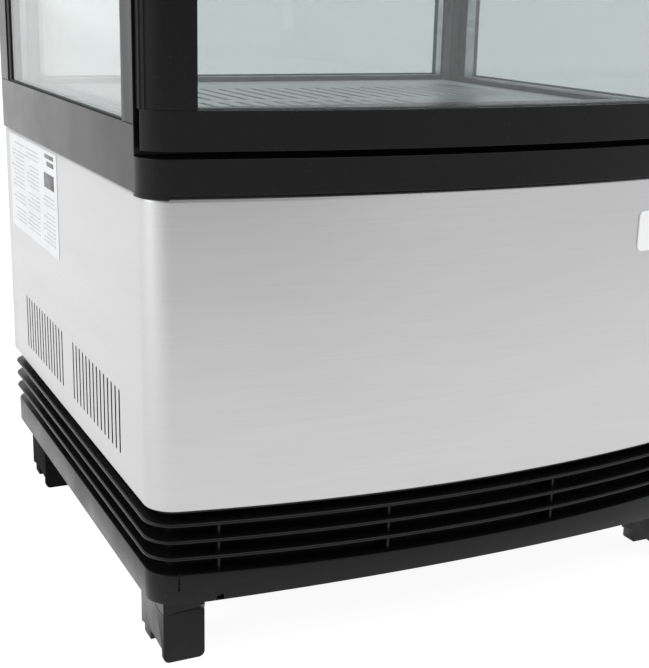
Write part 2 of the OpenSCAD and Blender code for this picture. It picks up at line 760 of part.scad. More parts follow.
// shelf at level z: a rim of thick bar, thin bars from front to rear and a raised rear stop
module wire_shelf(z) {
    hw = inner_hw - 8;
    y0 = y_post + 15;
    y1 = y_inside_rear - 8;
    rim = 2.2;
    step = 2 * (hw - 10) / (wire_count - 1);
    difference() {
        block([-hw - rim, y0 - rim, z - rim], [hw + rim, y1 + rim, z + rim]);
        block([-hw + rim, y0 + rim, z - 5], [hw - rim, y1 - rim, z + 5]);
    }
    block([-hw, (y0 + y1) / 2 - 2, z - rim], [hw, (y0 + y1) / 2 + 2, z]);
    for (i = [0:wire_count - 1])
        block([-hw + 10 + i * step - wire_d / 2, y0, z - 0.6],
            [-hw + 10 + i * step + wire_d / 2, y1, z - 0.6 + wire_d]);
    difference() {
        block([-hw + 14, y1 - 1.6, z], [hw - 14, y1 + 1.6, z + 24]);
        block([-hw + 17.2, y1 - 3, z + 1], [hw - 17.2, y1 + 3, z + 20.8]);
    }
}

module shelf_lower() { color(steel) wire_shelf(shelf_z[0]); }
module shelf_upper() { color(steel) wire_shelf(shelf_z[1]); }

module shelf_clips() {
    color(steel) for (s = [-1, 1], z = shelf_z, y = [y_post + 18, y_rear - rear_post_d + 8]) {
        block([s * (inner_hw - 5.5) - 5.5, y - 1.8, z - 5], [s * (inner_hw - 5.5) + 5.5, y + 1.8, z - 2.5]);
        block([s * (inner_hw - 1) - 1, y - 4, z - 12], [s * (inner_hw - 1) + 1, y + 4, z - 2.5]);
    }
}

module led_strips() {
    color([0.97, 0.97, 0.93]) both_sides() {
        block([inner_hw - 9, y_post + 1.5, z_rail + 30], [inner_hw - 0.1, y_post + 7.5, z_rail_top - 30]);
        // half-round diffuser
        intersection() {
            post_z(inner_hw - 4.5, y_post + 7.5, z_rail + 30, z_rail_top - 30, 4);
            block([inner_hw - 10, y_post + 7.4, 0], [inner_hw, y_post + 13, z_top]);
        }
    }
}

// ---------------------------------------------------------------- canopy

module canopy_frame() {
    z1 = z_canopy + 16;
    color(black) difference() {
        union() {
            slab(z_canopy, z1, proud, 8);
            intersection() {
                slab(z_rail_top, z_canopy + hair, proud, 8);
                block([-250, y_post, z_rail_top - 1], [250, 300, z_canopy + 1]);
            }
            ring(z1 - hair, z_top - 12, -1.2, 3, 5);
        }
        block([-inner_hw, y_sill, z_rail_top - 1], [inner_hw, y_inside_rear, z1 + 1]);
        intersection() {
            slab(z_canopy + 3, z1 + 1, -4, 6);
            block([-196, -300, z_canopy + 3], [196, y_post - 2, z1 + 1]);
        }
        both_sides() block([seat_in, y_post + front_post_d - seat_depth, z_rail_top - 1],
            [seat_x, y_rear - rear_post_d + seat_depth, z_rail_top + 6]);
        block([-inner_hw - 6, y_inside_rear - hair, z_rail_top - 1],
            [inner_hw + 6, y_rear_glass, z_rail_top + 6]);
    }
}

module canopy_wrap() {
    color(steel) ring(z_canopy + 16, z_top - 12, 0, 1, 6);
}

module canopy_lid() {
    color(black) difference() {
        union() {
            slab(z_top - 12, z_top - 4, proud, 8);
            slab(z_top - 4 - hair, z_top - 1.5, proud - 1.5, 7);
            slab(z_top - 1.5 - hair, z_top, proud - 4, 5);
        }
        slab(z_top - 13, z_top - 4, -4.4, 2);
    }
}

module ceiling_panel() {
    color(white) difference() {
        block([-inner_hw, y_sill, z_rail_top + 4], [inner_hw, y_inside_rear, z_rail_top + 8]);
        for (i = [0:9]) block([-90 + i * 20, 40, z_rail_top], [-84 + i * 20, 120, z_rail_top + 10]);
    }
}

// ---------------------------------------------------------------- door

// hinge plate with its pin, drawn for the lower hinge at level 0 with the pin pointing up
module hinge_plate() {
    difference() {
        union() {
            block([axis_x - 34, axis_y - plate_r, 0], [axis_x, axis_y + plate_r, 2.5]);
            translate([axis_x, axis_y, 0]) cylinder(h = 2.5, r = plate_r);
            translate([axis_x, axis_y, 0]) cylinder(h = 14, r = pin_r);
        }
        for (x = [12, 26]) translate([axis_x - x, axis_y, 1.2]) cylinder(h = 3, r = 2.6);
    }
}

module hinge_plate_lower() {
    color(steel) translate([0, 0, z_deck]) hinge_plate();
}

module hinge_plate_upper() {
    color(steel) translate([0, 0, z_canopy]) mirror([0, 0, 1]) hinge_plate();
}

// whole door body between two levels, from the bowed front to the flat back; r_left and r_right are
// the radii of its back corners
module door_body(z0, z1, r_left, r_right) {
    intersection() {
        slab(z0, z1, proud, 8);
        translate([0, 0, z0]) linear_extrude(z1 - z0) union() {
            translate([-outer_hw, y_front - 60]) square([outer_hw, 60 + door_t - r_left]);
            translate([0, y_front - 60]) square([outer_hw, 60 + door_t - r_right]);
            translate([-outer_hw + r_left, y_front - 60])
                square([2 * outer_hw - r_left - r_right, 60 + door_t]);
            translate([-outer_hw + r_left, y_door - r_left]) circle(r = r_left);
            translate([outer_hw - r_right, y_door - r_right]) circle(r = r_right);
        }
    }
}

// seat of the double glazed unit inside the door frame
module door_glass_seat() {
    bow_plate(-13.3, -0.7, open_hw + 6.4, z_door + rail_h - 6.4, z_door_top - rail_h + 6.4);
}

module door_stile_left() {
    z0 = z_door + rail_h;
    z1 = z_door_top - rail_h;
    cy = bow_y - sqrt(pow(bow_r - corner_r, 2) - pow(body_w / 2 - corner_r, 2));
    color(black) difference() {
        door_body(z0, z1, 1.5, back_r);
        block([-open_hw, -300, z0 - 1], [300, 0, z1 + 1]);
        door_glass_seat();
        // finger grooves round the outer corner
        for (a = [14, 24, 34])
            translate([-body_w / 2 + corner_r, cy, z0 - 1]) rotate([0, 0, 180 + a])
                translate([corner_r + proud + 0.3, 0, 0]) cylinder(h = z1 - z0 + 2, r = 1.1);
    }
}

module door_stile_right() {
    z0 = z_door + rail_h;
    z1 = z_door_top - rail_h;
    color(black) difference() {
        door_body(z0, z1, back_r, back_r);
        block([-300, -300, z0 - 1], [open_hw, 0, z1 + 1]);
        door_glass_seat();
    }
}

module door_rail_bottom() {
    color(black) difference() {
        door_body(z_door, z_door + rail_h, back_r, back_r);
        door_glass_seat();
        post_z(axis_x, axis_y, z_door - 1, z_door + 14, bush_r);
    }
}

module door_rail_top() {
    color(black) difference() {
        door_body(z_door_top - rail_h, z_door_top, back_r, back_r);
        door_glass_seat();
        post_z(axis_x, axis_y, z_door_top - 14, z_door_top + 1, bush_r);
    }
}

module door_glass() {
    color(glass_tint) {
        bow_plate(-4.2, -1, open_hw + 6, z_door + rail_h - 6, z_door_top - rail_h + 6);
        bow_plate(-13, -9.8, open_hw + 6, z_door + rail_h - 6, z_door_top - rail_h + 6);
    }
}

module door_spacer() {
    color(galvanised) difference() {
        bow_plate(-9.7, -4.3, open_hw + 6, z_door + rail_h - 6, z_door_top - rail_h + 6);
        block([-open_hw, -300, z_door + rail_h], [open_hw, 0, z_door_top - rail_h]);
    }
}

module door_gasket() {
    color([0.12, 0.12, 0.12]) difference() {
        block([-inner_hw - 12, y_door, z_door + 3], [inner_hw + 12, y_door + gasket_t, z_door_top - 3]);
        block([-inner_hw + 1, y_door - 1, z_door + 16],
            [inner_hw - 1, y_door + gasket_t + 1, z_door_top - 16]);
        // hollow bellows groove round the middle of the section
        difference() {
            block([-inner_hw - 6.5, y_door - 1, z_door + 8.5],
                [inner_hw + 6.5, y_door + 1.5, z_door_top - 8.5]);
            block([-inner_hw - 3.5, y_door - 2, z_door + 11.5],
                [inner_hw + 3.5, y_door + 3, z_door_top - 11.5]);
        }
    }
}

module door_bushes() {
    color([0.85, 0.85, 0.82]) for (z = [z_door, z_door_top - 14]) difference() {
        post_z(axis_x, axis_y, z, z + 14, bush_r);
        post_z(axis_x, axis_y, z - 1, z + 15, pin_r + fit);
    }
}

// ---------------------------------------------------------------- nodes

base_tray();
louvre_skirt();
foot_front_left();
foot_front_right();
foot_rear_left();
foot_rear_right();
chassis_plate();
steel_wrap();
rear_service_panel();
rear_panel_screws();
fascia_band();
badge();
rating_label();
compressor();
compressor_grommets();
compressor_relay_box();
condenser_coil();
condenser_shroud();
condenser_fan_motor();
condenser_fan();
refrigerant_pipes();
condensate_pan();
drain_tube();
evaporator_box();
evaporator_coil();
evaporator_fan_motor();
evaporator_fan();
control_box();
thermostat_knob();
light_rocker();
cord_gland();
cabinet_floor();
floor_grille();
post_front_left();
post_front_right();
post_rear_left();
post_rear_right();
side_glass_left();
side_glass_right();
rear_glass();
glazing_spacers();
glazing_gaskets();
shelf_upper();
shelf_lower();
shelf_clips();
led_strips();
canopy_frame();
canopy_wrap();
canopy_lid();
ceiling_panel();
hinge_plate_lower();
hinge_plate_upper();
door_stile_left();
door_stile_right();
door_rail_bottom();
door_rail_top();
door_glass();
door_spacer();
door_gasket();
door_bushes();
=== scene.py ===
"""Looks of a countertop glass door merchandiser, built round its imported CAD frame.

Everything is in metres in the CAD model's frame: X across the front, -Y to the front and Z up.
The black mouldings, the steel, the door, the glass and the shelves are rebuilt here with fine curves
and rounded edges. CAD nodes whose shape is already right stay and only get materials.
"""
import json
import math
import random

import bmesh
import bpy
from mathutils import Matrix, Vector


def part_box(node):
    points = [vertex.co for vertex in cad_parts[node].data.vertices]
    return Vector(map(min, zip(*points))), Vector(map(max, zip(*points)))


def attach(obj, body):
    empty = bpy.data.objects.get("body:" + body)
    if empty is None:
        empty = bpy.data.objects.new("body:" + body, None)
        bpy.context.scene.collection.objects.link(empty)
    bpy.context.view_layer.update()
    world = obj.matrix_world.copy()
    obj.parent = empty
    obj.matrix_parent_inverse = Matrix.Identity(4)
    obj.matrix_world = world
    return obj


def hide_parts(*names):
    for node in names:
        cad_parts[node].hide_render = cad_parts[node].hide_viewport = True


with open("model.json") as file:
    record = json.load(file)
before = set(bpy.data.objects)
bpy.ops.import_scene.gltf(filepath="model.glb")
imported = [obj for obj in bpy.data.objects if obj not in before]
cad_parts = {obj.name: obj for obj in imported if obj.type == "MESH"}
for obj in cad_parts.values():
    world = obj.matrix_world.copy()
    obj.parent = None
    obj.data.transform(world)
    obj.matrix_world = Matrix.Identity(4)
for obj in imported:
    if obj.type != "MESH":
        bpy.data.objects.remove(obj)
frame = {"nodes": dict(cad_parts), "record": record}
NODES = frame["nodes"]
BODIES = frame["record"]["behaviour"]["bodies"]
BODY_OF = {node: body for body, nodes in BODIES.items() for node in nodes}
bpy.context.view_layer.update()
MM = 0.001


def low(node):
    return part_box(node)[0]


def high(node):
    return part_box(node)[1]


# ------------------------------------------------------------------ sizes, most from the frame

BODY_HW = high("steel_wrap").x
Y_REAR = high("steel_wrap").y
Y_NOSE = low("steel_wrap").y
BOW = 25 * MM                                # bulge of the front beyond its corners
CORNER_R = 20 * MM                           # front corners, seen from above
BASE_REAR_R = 15 * MM                        # rear corners of the base
BAND_REAR_R = 6 * MM                         # rear corners of the skirt's flange and the canopy's band
MOULDING_REAR_R = 8 * MM                     # rear corners of the black mouldings above the steel
PROUD = high("fascia_band").x - BODY_HW      # mouldings beyond the steel
OUTER_HW = BODY_HW + PROUD
BOW_R = (BOW ** 2 + BODY_HW ** 2) / (2 * BOW)
BOW_Y = Y_NOSE + BOW_R
Y_CORNER = Y_NOSE + BOW

Z_SKIRT = low("louvre_skirt").z
Z_TRAY = Z_SKIRT - 16 * MM
Z_STEEL = low("steel_wrap").z
Z_BAND = high("steel_wrap").z
Z_DECK = low("hinge_plate_lower").z
Z_DOOR = low("door_rail_bottom").z
Z_DOOR_TOP = high("door_rail_top").z
Z_RAIL = low("post_front_left").z
Z_RAIL_TOP = high("post_front_left").z
Z_CANOPY = high("hinge_plate_upper").z
Z_TOP = high("canopy_lid").z

Y_DOOR = low("door_gasket").y                # back of the door frame
Y_POST = low("post_front_left").y
FRONT_POST_BACK = high("post_front_left").y
REAR_POST_FRONT = low("post_rear_left").y
Y_SILL = low("cabinet_floor").y
Y_INSIDE_REAR = high("cabinet_floor").y
Y_REAR_GLASS = Y_REAR - 2 * MM
INNER_HW = high("cabinet_floor").x
GLASS_UNIT = 16 * MM                         # thickness of a glass unit's seat
PANE = 3.2 * MM
SEAT_DEPTH = 6 * MM
DOOR_GLASS_HW = high("door_glass").x
OPEN_HW = DOOR_GLASS_HW - SEAT_DEPTH         # half width of the door's clear opening
UNIT_FRONT = -1 * MM                         # faces of the door's glass unit, as offsets from the plan
UNIT_BACK = -13 * MM
DOOR_RAIL = high("door_rail_bottom").z - Z_DOOR
DOOR_BACK_R = 8 * MM                         # back corners of the door's frame
FAR = 0.3                                    # past the body on every side, for cutters

BOW_STEPS = 72
CORNER_STEPS = 20
REAR_STEPS = 8


# ------------------------------------------------------------------ stage

def make_camera():
    """Camera beyond the front left corner, looking down at the housing."""
    yaw = math.radians(25.45)
    pitch = math.radians(15.37)
    roll = math.radians(1.29)
    data = bpy.data.cameras.new("camera")
    data.sensor_fit = "VERTICAL"
    data.sensor_height = 36.0
    data.lens = 67.53
    data.clip_start = 0.02
    data.clip_end = 400.0
    camera = bpy.data.objects.new("camera", data)
    bpy.context.scene.collection.objects.link(camera)
    turn = Matrix.Rotation(-yaw, 4, "Z") @ Matrix.Rotation(math.pi / 2 - pitch, 4, "X")
    place = Matrix.Translation((-0.422, -0.8535, 0.408))
    camera.matrix_world = place @ turn @ Matrix.Rotation(roll, 4, "Z")
    bpy.context.scene.camera = camera


def ramp_along(tree, vector, direction, start, end, before, after):
    """Smooth change between two distances along a direction, from one value to another."""
    along = tree.nodes.new("ShaderNodeVectorMath")
    along.operation = "DOT_PRODUCT"
    along.inputs[1].default_value = Vector(direction).normalized()
    ramp = tree.nodes.new("ShaderNodeMapRange")
    ramp.interpolation_type = "SMOOTHSTEP"
    ramp.inputs["From Min"].default_value = start
    ramp.inputs["From Max"].default_value = end
    ramp.inputs["To Min"].default_value = before
    ramp.inputs["To Max"].default_value = after
    tree.links.new(vector, along.inputs[0])
    tree.links.new(along.outputs["Value"], ramp.inputs["Value"])
    return ramp.outputs["Result"]


def make_world():
    """White studio all round, with a dim patch in front."""
    world = bpy.data.worlds.new("studio")
    bpy.context.scene.world = world
    world.use_nodes = True
    tree = world.node_tree
    direction = tree.nodes.new("ShaderNodeTexCoord").outputs["Generated"]
    patch = (-0.30, -0.95, 0.10)
    strength = ramp_along(tree, direction, patch, start=0.7, end=0.97, before=1.0, after=0.2)
    background = tree.nodes["Background"]
    background.inputs["Color"].default_value = (1.0, 1.0, 1.0, 1.0)
    tree.links.new(strength, background.inputs["Strength"])


def make_floor():
    """Wide grey floor that glows, so that it shows plain and pale. The glow is a little stronger to the
    left and a little weaker in front."""
    size = 120.0
    grey = 0.22
    bm = bmesh.new()
    corners = [(-size, -size), (size, -size), (size, size), (-size, size)]
    bm.faces.new([bm.verts.new((x, y, 0.0)) for x, y in corners])
    floor = new_object("floor", bm)
    material = bpy.data.materials.new("floor_white")
    material.use_nodes = True
    tree = material.node_tree
    shader = tree.nodes["Principled BSDF"]
    shader.inputs["Base Color"].default_value = (grey, grey, grey, 1.0)
    shader.inputs["Roughness"].default_value = 0.9
    shader.inputs["Specular IOR Level"].default_value = 0.1
    shader.inputs["Emission Color"].default_value = (1.0, 1.0, 1.0, 1.0)
    place = tree.nodes.new("ShaderNodeTexCoord").outputs["Object"]
    front = ramp_along(tree, place, (0.0, -1.0, 0.0), start=0.4, end=1.3, before=0.95, after=0.68)
    left = ramp_along(tree, place, (-1.0, -0.2, 0.0), start=0.6, end=1.3, before=0.98, after=1.16)
    strength = tree.nodes.new("ShaderNodeMath")
    strength.operation = "MULTIPLY"
    tree.links.new(front, strength.inputs[0])
    tree.links.new(left, strength.inputs[1])
    tree.links.new(strength.outputs[0], shader.inputs["Emission Strength"])
    floor.data.materials.append(material)


def make_lamp(name, place, target, size, power):
    """Square softbox that faces the target."""
    data = bpy.data.lights.new(name, "AREA")
    data.shape = "SQUARE"
    data.size = size
    data.energy = power
    lamp = bpy.data.objects.new(name, data)
    lamp.location = place
    aim = Vector(target) - Vector(place)
    lamp.rotation_euler = aim.to_track_quat("-Z", "Y").to_euler()
    bpy.context.scene.collection.objects.link(lamp)


def make_lights():
    make_lamp("softbox_left", (-2.6, 0.2, 1.4), (0, 0, 0.3), 1.6, 22)
    make_lamp("softbox_top", (0.6, -0.8, 2.6), (0, 0, 0.4), 1.6, 18)


# ------------------------------------------------------------------ mesh helpers

def new_object(name, bm):
    """Turns a bmesh into a linked object with smooth shading."""
    bmesh.ops.recalc_face_normals(bm, faces=bm.faces)
    mesh = bpy.data.meshes.new(name)
    bm.to_mesh(mesh)
    bm.free()
    for face in mesh.polygons:
        face.use_smooth = True
    obj = bpy.data.objects.new(name, mesh)
    bpy.context.scene.collection.objects.link(obj)
    return obj


def apply_modifiers(obj):
    graph = bpy.context.evaluated_depsgraph_get()
    mesh = bpy.data.meshes.new_from_object(obj.evaluated_get(graph))
    obj.modifiers.clear()
    obj.data = mesh


def soften(obj, width, segments=2, angle=32):
    """Rounds the edges sharper than the angle, and keeps the flat faces flat."""
    bevel = obj.modifiers.new("edges", "BEVEL")
    bevel.width = width
    bevel.segments = segments
    bevel.limit_method = "ANGLE"
    bevel.angle_limit = math.radians(angle)
    bevel.harden_normals = True
    apply_modifiers(obj)
    return obj


def sharpen(obj, angle=35):
    """Marks edges over the angle as sharp, for pieces that aren't bevelled."""
    obj.data.set_sharp_from_angle(angle=math.radians(angle))
    return obj


def boolean(obj, cutter, operation):
    modifier = obj.modifiers.new("cut", "BOOLEAN")
    modifier.operation = operation
    modifier.solver = "EXACT"
    modifier.object = cutter
    apply_modifiers(obj)
    bpy.data.objects.remove(cutter)
    return obj


def cut(obj, bm):
    return boolean(obj, new_object("cutter", bm), "DIFFERENCE")


def keep(obj, bm):
    return boolean(obj, new_object("cutter", bm), "INTERSECT")


def cut_boxes(obj, boxes):
    """Cuts boxes out of obj. The boxes are (lowest corner, highest corner) and don't overlap."""
    bm = bmesh.new()
    for a, b in boxes:
        add_box(bm, a, b)
    return cut(obj, bm)


def add_box(bm, a, b):
    add_prism(bm, [(a[0], a[1]), (b[0], a[1]), (b[0], b[1]), (a[0], b[1])], a[2], b[2])
    return bm


def add_prism(bm, outline, z0, z1):
    """Closed prism on an anticlockwise outline, between two levels."""
    return add_loft(bm, [[(x, y, z) for x, y in outline] for z in (z0, z1)], hollow=False)


def add_loft(bm, rings, hollow):
    """Skin through closed rings of points; the last ring joins the first if it is hollow."""
    loops = [[bm.verts.new(p) for p in ring] for ring in rings]
    pairs = list(zip(loops, loops[1:] + loops[:1])) if hollow else list(zip(loops, loops[1:]))
    count = len(loops[0])
    for a, b in pairs:
        for i in range(count):
            j = (i + 1) % count
            bm.faces.new((a[i], a[j], b[j], b[i]))
    if not hollow:
        bm.faces.new(loops[0][::-1])
        bm.faces.new(loops[-1])
    return bm


def add_rod(bm, a, b, r, sides=12):
    """Straight round rod between two points, with domed ends."""
    a, b = Vector(a), Vector(b)
    along = (b - a).normalized()
    across = along.orthogonal().normalized()
    other = along.cross(across)
    tip = 0.7
    dome = along * r * 0.3
    stations = [(a, tip), (a + dome, 1.0), (b - dome, 1.0), (b, tip)]
    rings = []
    for centre, share in stations:
        turns = [2 * math.pi * i / sides for i in range(sides)]
        rings.append([centre + (across * math.cos(t) + other * math.sin(t)) * r * share for t in turns])
    add_loft(bm, rings, hollow=False)


def arc(cx, cy, r, start, end, steps):
    """Points along an arc, both ends included."""
    angles = [start + (end - start) * i / steps for i in range(steps + 1)]
    return [(cx + r * math.cos(a), cy + r * math.sin(a)) for a in angles]


def round_corners(u0, v0, u1, v1, r, steps):
    """Rectangle with round corners between two opposite corners, anticlockwise."""
    near_u, near_v, far_u, far_v = u0 + r, v0 + r, u1 - r, v1 - r
    points = []
    for i, (u, v) in enumerate(((far_u, far_v), (near_u, far_v), (near_u, near_v), (far_u, near_v))):
        turn = math.radians(90 * i)
        points += arc(u, v, r, turn, turn + math.pi / 2, steps)
    return points


def plan_outline(o, rear_r):
    """Outline of the body seen from above, grown outwards by o, anticlockwise from the left side."""
    r = max(CORNER_R + o, MM)
    half_w = BODY_HW + o
    arc_r = BOW_R + o
    cx = half_w - r
    cy = BOW_Y - math.sqrt((arc_r - r) ** 2 - cx ** 2)
    half_angle = math.asin(cx / (arc_r - r))
    front = 1.5 * math.pi
    back = Y_REAR + o
    points = arc(-cx, cy, r, math.pi, front - half_angle, CORNER_STEPS)[:-1]
    points += arc(0, BOW_Y, arc_r, front - half_angle, front + half_angle, BOW_STEPS)[:-1]
    points += arc(cx, cy, r, front + half_angle, 2 * math.pi, CORNER_STEPS)
    points += arc(half_w - rear_r, back - rear_r, rear_r, 0, math.pi / 2, REAR_STEPS)
    points += arc(rear_r - half_w, back - rear_r, rear_r, math.pi / 2, math.pi, REAR_STEPS)
    return points


def plan_rings(profile, z0, rear_r):
    """Rings that follow the plan. The profile is (outward offset, height above z0) in millimetres."""
    least_r = 0.6 * MM
    rings = []
    for o, z in profile:
        outline = plan_outline(o * MM, max(rear_r + o * MM, least_r))
        rings.append([(x, y, z0 + z * MM) for x, y in outline])
    return rings


def slab(name, z0, z1, o, rear_r):
    """Solid of the plan grown by o, between two levels."""
    bm = bmesh.new()
    add_prism(bm, plan_outline(o, rear_r), z0, z1)
    return new_object(name, bm)


def bow_line(o, half_w):
    """Points along the front's bow at that offset, from left to right."""
    r = BOW_R + o
    half_angle = math.asin(half_w / r)
    return arc(0, BOW_Y, r, 1.5 * math.pi - half_angle, 1.5 * math.pi + half_angle, BOW_STEPS)


def add_bow_plate(bm, o_in, o_out, half_w, z0, z1):
    """Plate that follows the bow between two offsets and two levels."""
    outer = bow_line(o_out, half_w)
    inner = bow_line(o_in, half_w)
    rings = []
    for (x0, y0), (x1, y1) in zip(outer, inner):
        rings.append([(x0, y0, z0), (x0, y0, z1), (x1, y1, z1), (x1, y1, z0)])
    return add_loft(bm, rings, hollow=False)


def node_copy(node, name):
    """Welded copy of a CAD node's mesh, with its flat faces whole."""
    weld = 0.001 * MM
    bm = bmesh.new()
    bm.from_mesh(NODES[node].data)
    bmesh.ops.remove_doubles(bm, verts=bm.verts, dist=weld)
    bmesh.ops.dissolve_limit(bm, angle_limit=math.radians(1), verts=bm.verts, edges=bm.edges)
    return new_object(name, bm)


# ------------------------------------------------------------------ materials

def new_material(name, colour, roughness, metallic=0.0, sockets=None):
    """Material on a Principled shader, with its constants on the shader's own sockets."""
    material = bpy.data.materials.new(name)
    material.use_nodes = True
    shader = material.node_tree.nodes["Principled BSDF"]
    shader.inputs["Base Color"].default_value = (*colour, 1.0)
    shader.inputs["Roughness"].default_value = roughness
    shader.inputs["Metallic"].default_value = metallic
    for socket, value in (sockets or {}).items():
        shader.inputs[socket].default_value = value
    return material


def shader_of(material):
    return material.node_tree.nodes["Principled BSDF"]


def link(material, output, node, socket):
    material.node_tree.links.new(output, node.inputs[socket])


def noise(material, scale, stretch=(1.0, 1.0, 1.0), detail=2.0, distortion=0.0):
    """Noise in the piece's own coordinates; scale is in cycles per metre."""
    nodes = material.node_tree.nodes
    place = nodes.new("ShaderNodeTexCoord")
    mapping = nodes.new("ShaderNodeMapping")
    mapping.inputs["Scale"].default_value = stretch
    texture = nodes.new("ShaderNodeTexNoise")
    texture.inputs["Scale"].default_value = scale
    texture.inputs["Detail"].default_value = detail
    texture.inputs["Distortion"].default_value = distortion
    link(material, place.outputs["Object"], mapping, "Vector")
    link(material, mapping.outputs["Vector"], texture, "Vector")
    return texture.outputs["Fac"]


def spread(material, value, to_low, to_high, from_low=0.3, from_high=0.7):
    """Maps a value to a new range, clamped."""
    node = material.node_tree.nodes.new("ShaderNodeMapRange")
    node.inputs["From Min"].default_value = from_low
    node.inputs["From Max"].default_value = from_high
    node.inputs["To Min"].default_value = to_low
    node.inputs["To Max"].default_value = to_high
    link(material, value, node, "Value")
    return node.outputs["Result"]


def tint(material, value, dark, light):
    """Drives the base colour between two colours."""
    node = material.node_tree.nodes.new("ShaderNodeMix")
    node.data_type = "RGBA"
    for socket in node.inputs:
        if socket.name == "A" and socket.type == "RGBA":
            socket.default_value = (*dark, 1.0)
        if socket.name == "B" and socket.type == "RGBA":
            socket.default_value = (*light, 1.0)
    link(material, value, node, "Factor")
    colour = [s for s in node.outputs if s.type == "RGBA"][0]
    link(material, colour, shader_of(material), "Base Color")


def vary_roughness(material, value, smooth, rough):
    link(material, spread(material, value, smooth, rough), shader_of(material), "Roughness")


def bump(material, heights):
    """Stacks bumps on the shader's normal. Each is (height value, depth in metres, strength)."""
    previous = None
    for value, depth, strength in heights:
        node = material.node_tree.nodes.new("ShaderNodeBump")
        node.inputs["Distance"].default_value = depth
        node.inputs["Strength"].default_value = strength
        link(material, value, node, "Height")
        if previous is not None:
            link(material, previous, node, "Normal")
        previous = node.outputs["Normal"]
    link(material, previous, shader_of(material), "Normal")


def moulded_black(name, shine, grain, mottle, smooth, rough):
    """Semi-gloss black plastic: fine grain, faint flow marks and a little dust."""
    material = new_material(name, (0.006, 0.006, 0.0065), 0.3, sockets={"Specular IOR Level": shine})
    dust = spread(material, noise(material, 900, detail=3.0), 0.0, 1.0, 0.62, 0.75)
    tint(material, dust, (0.0045, 0.0045, 0.005), (0.016, 0.016, 0.016))
    vary_roughness(material, noise(material, 26, detail=4.0), smooth, rough)
    bump(material, [
        (noise(material, 55, detail=3.0), 0.6 * MM, mottle),
        (noise(material, 1500, detail=2.0), 0.04 * MM, grain),
    ])
    return material


def brushed_steel(name, light, dark, roughness=0.3):
    """Stainless steel with fine horizontal brush marks."""
    material = new_material(name, light, roughness, 1.0, {
        "Anisotropic": 0.5,
        "Anisotropic Rotation": 0.25,
    })
    tangent = material.node_tree.nodes.new("ShaderNodeTangent")
    tangent.direction_type = "RADIAL"
    tangent.axis = "Z"
    link(material, tangent.outputs["Tangent"], shader_of(material), "Tangent")
    lines = noise(material, 1.0, (22.0, 22.0, 2400.0), 3.0)
    cloud = noise(material, 1.0, (6.0, 6.0, 40.0), 2.0)
    tint(material, spread(material, lines, 0.0, 1.0), dark, light)
    vary_roughness(material, cloud, roughness - 0.02, roughness + 0.04)
    bump(material, [(lines, 0.01 * MM, 0.12)])
    return material


def plated(name, colour, roughness, scuff=120):
    """Plated or polished metal with light scuffs."""
    material = new_material(name, colour, roughness, 1.0)
    scuffs = noise(material, scuff, detail=5.0, distortion=0.6)
    tint(material, spread(material, scuffs, 0.0, 1.0), tuple(c * 0.86 for c in colour), colour)
    vary_roughness(material, scuffs, roughness, roughness + 0.12)
    bump(material, [(noise(material, 700, detail=3.0), 0.02 * MM, 0.2)])
    return material


def galvanised(name):
    """Zinc sheet with the spangle of its crystals."""
    material = new_material(name, (0.58, 0.6, 0.62), 0.42, 1.0)
    nodes = material.node_tree.nodes
    place = nodes.new("ShaderNodeTexCoord")
    crystals = nodes.new("ShaderNodeTexVoronoi")
    crystals.inputs["Scale"].default_value = 110
    link(material, place.outputs["Object"], crystals, "Vector")
    tone = nodes.new("ShaderNodeSeparateColor")
    link(material, crystals.outputs["Color"], tone, "Color")
    shade = spread(material, tone.outputs["Red"], 0.0, 1.0, 0.0, 1.0)
    tint(material, shade, (0.47, 0.49, 0.51), (0.64, 0.66, 0.68))
    vary_roughness(material, tone.outputs["Green"], 0.36, 0.52)
    bump(material, [(noise(material, 400, detail=3.0), 0.03 * MM, 0.25)])
    return material


def plain_plastic(name, dark, light, roughness, grain_scale=1200, grain=0.25, sockets=None):
    """Moulded plastic, rubber or paint with fine grain and uneven sheen."""
    material = new_material(name, light, roughness, sockets=sockets)
    tint(material, spread(material, noise(material, 35, detail=4.0), 0.0, 1.0), dark, light)
    vary_roughness(material, noise(material, 90, detail=4.0), roughness - 0.06, roughness + 0.08)
    bump(material, [(noise(material, grain_scale, detail=2.0), 0.05 * MM, grain)])
    return material


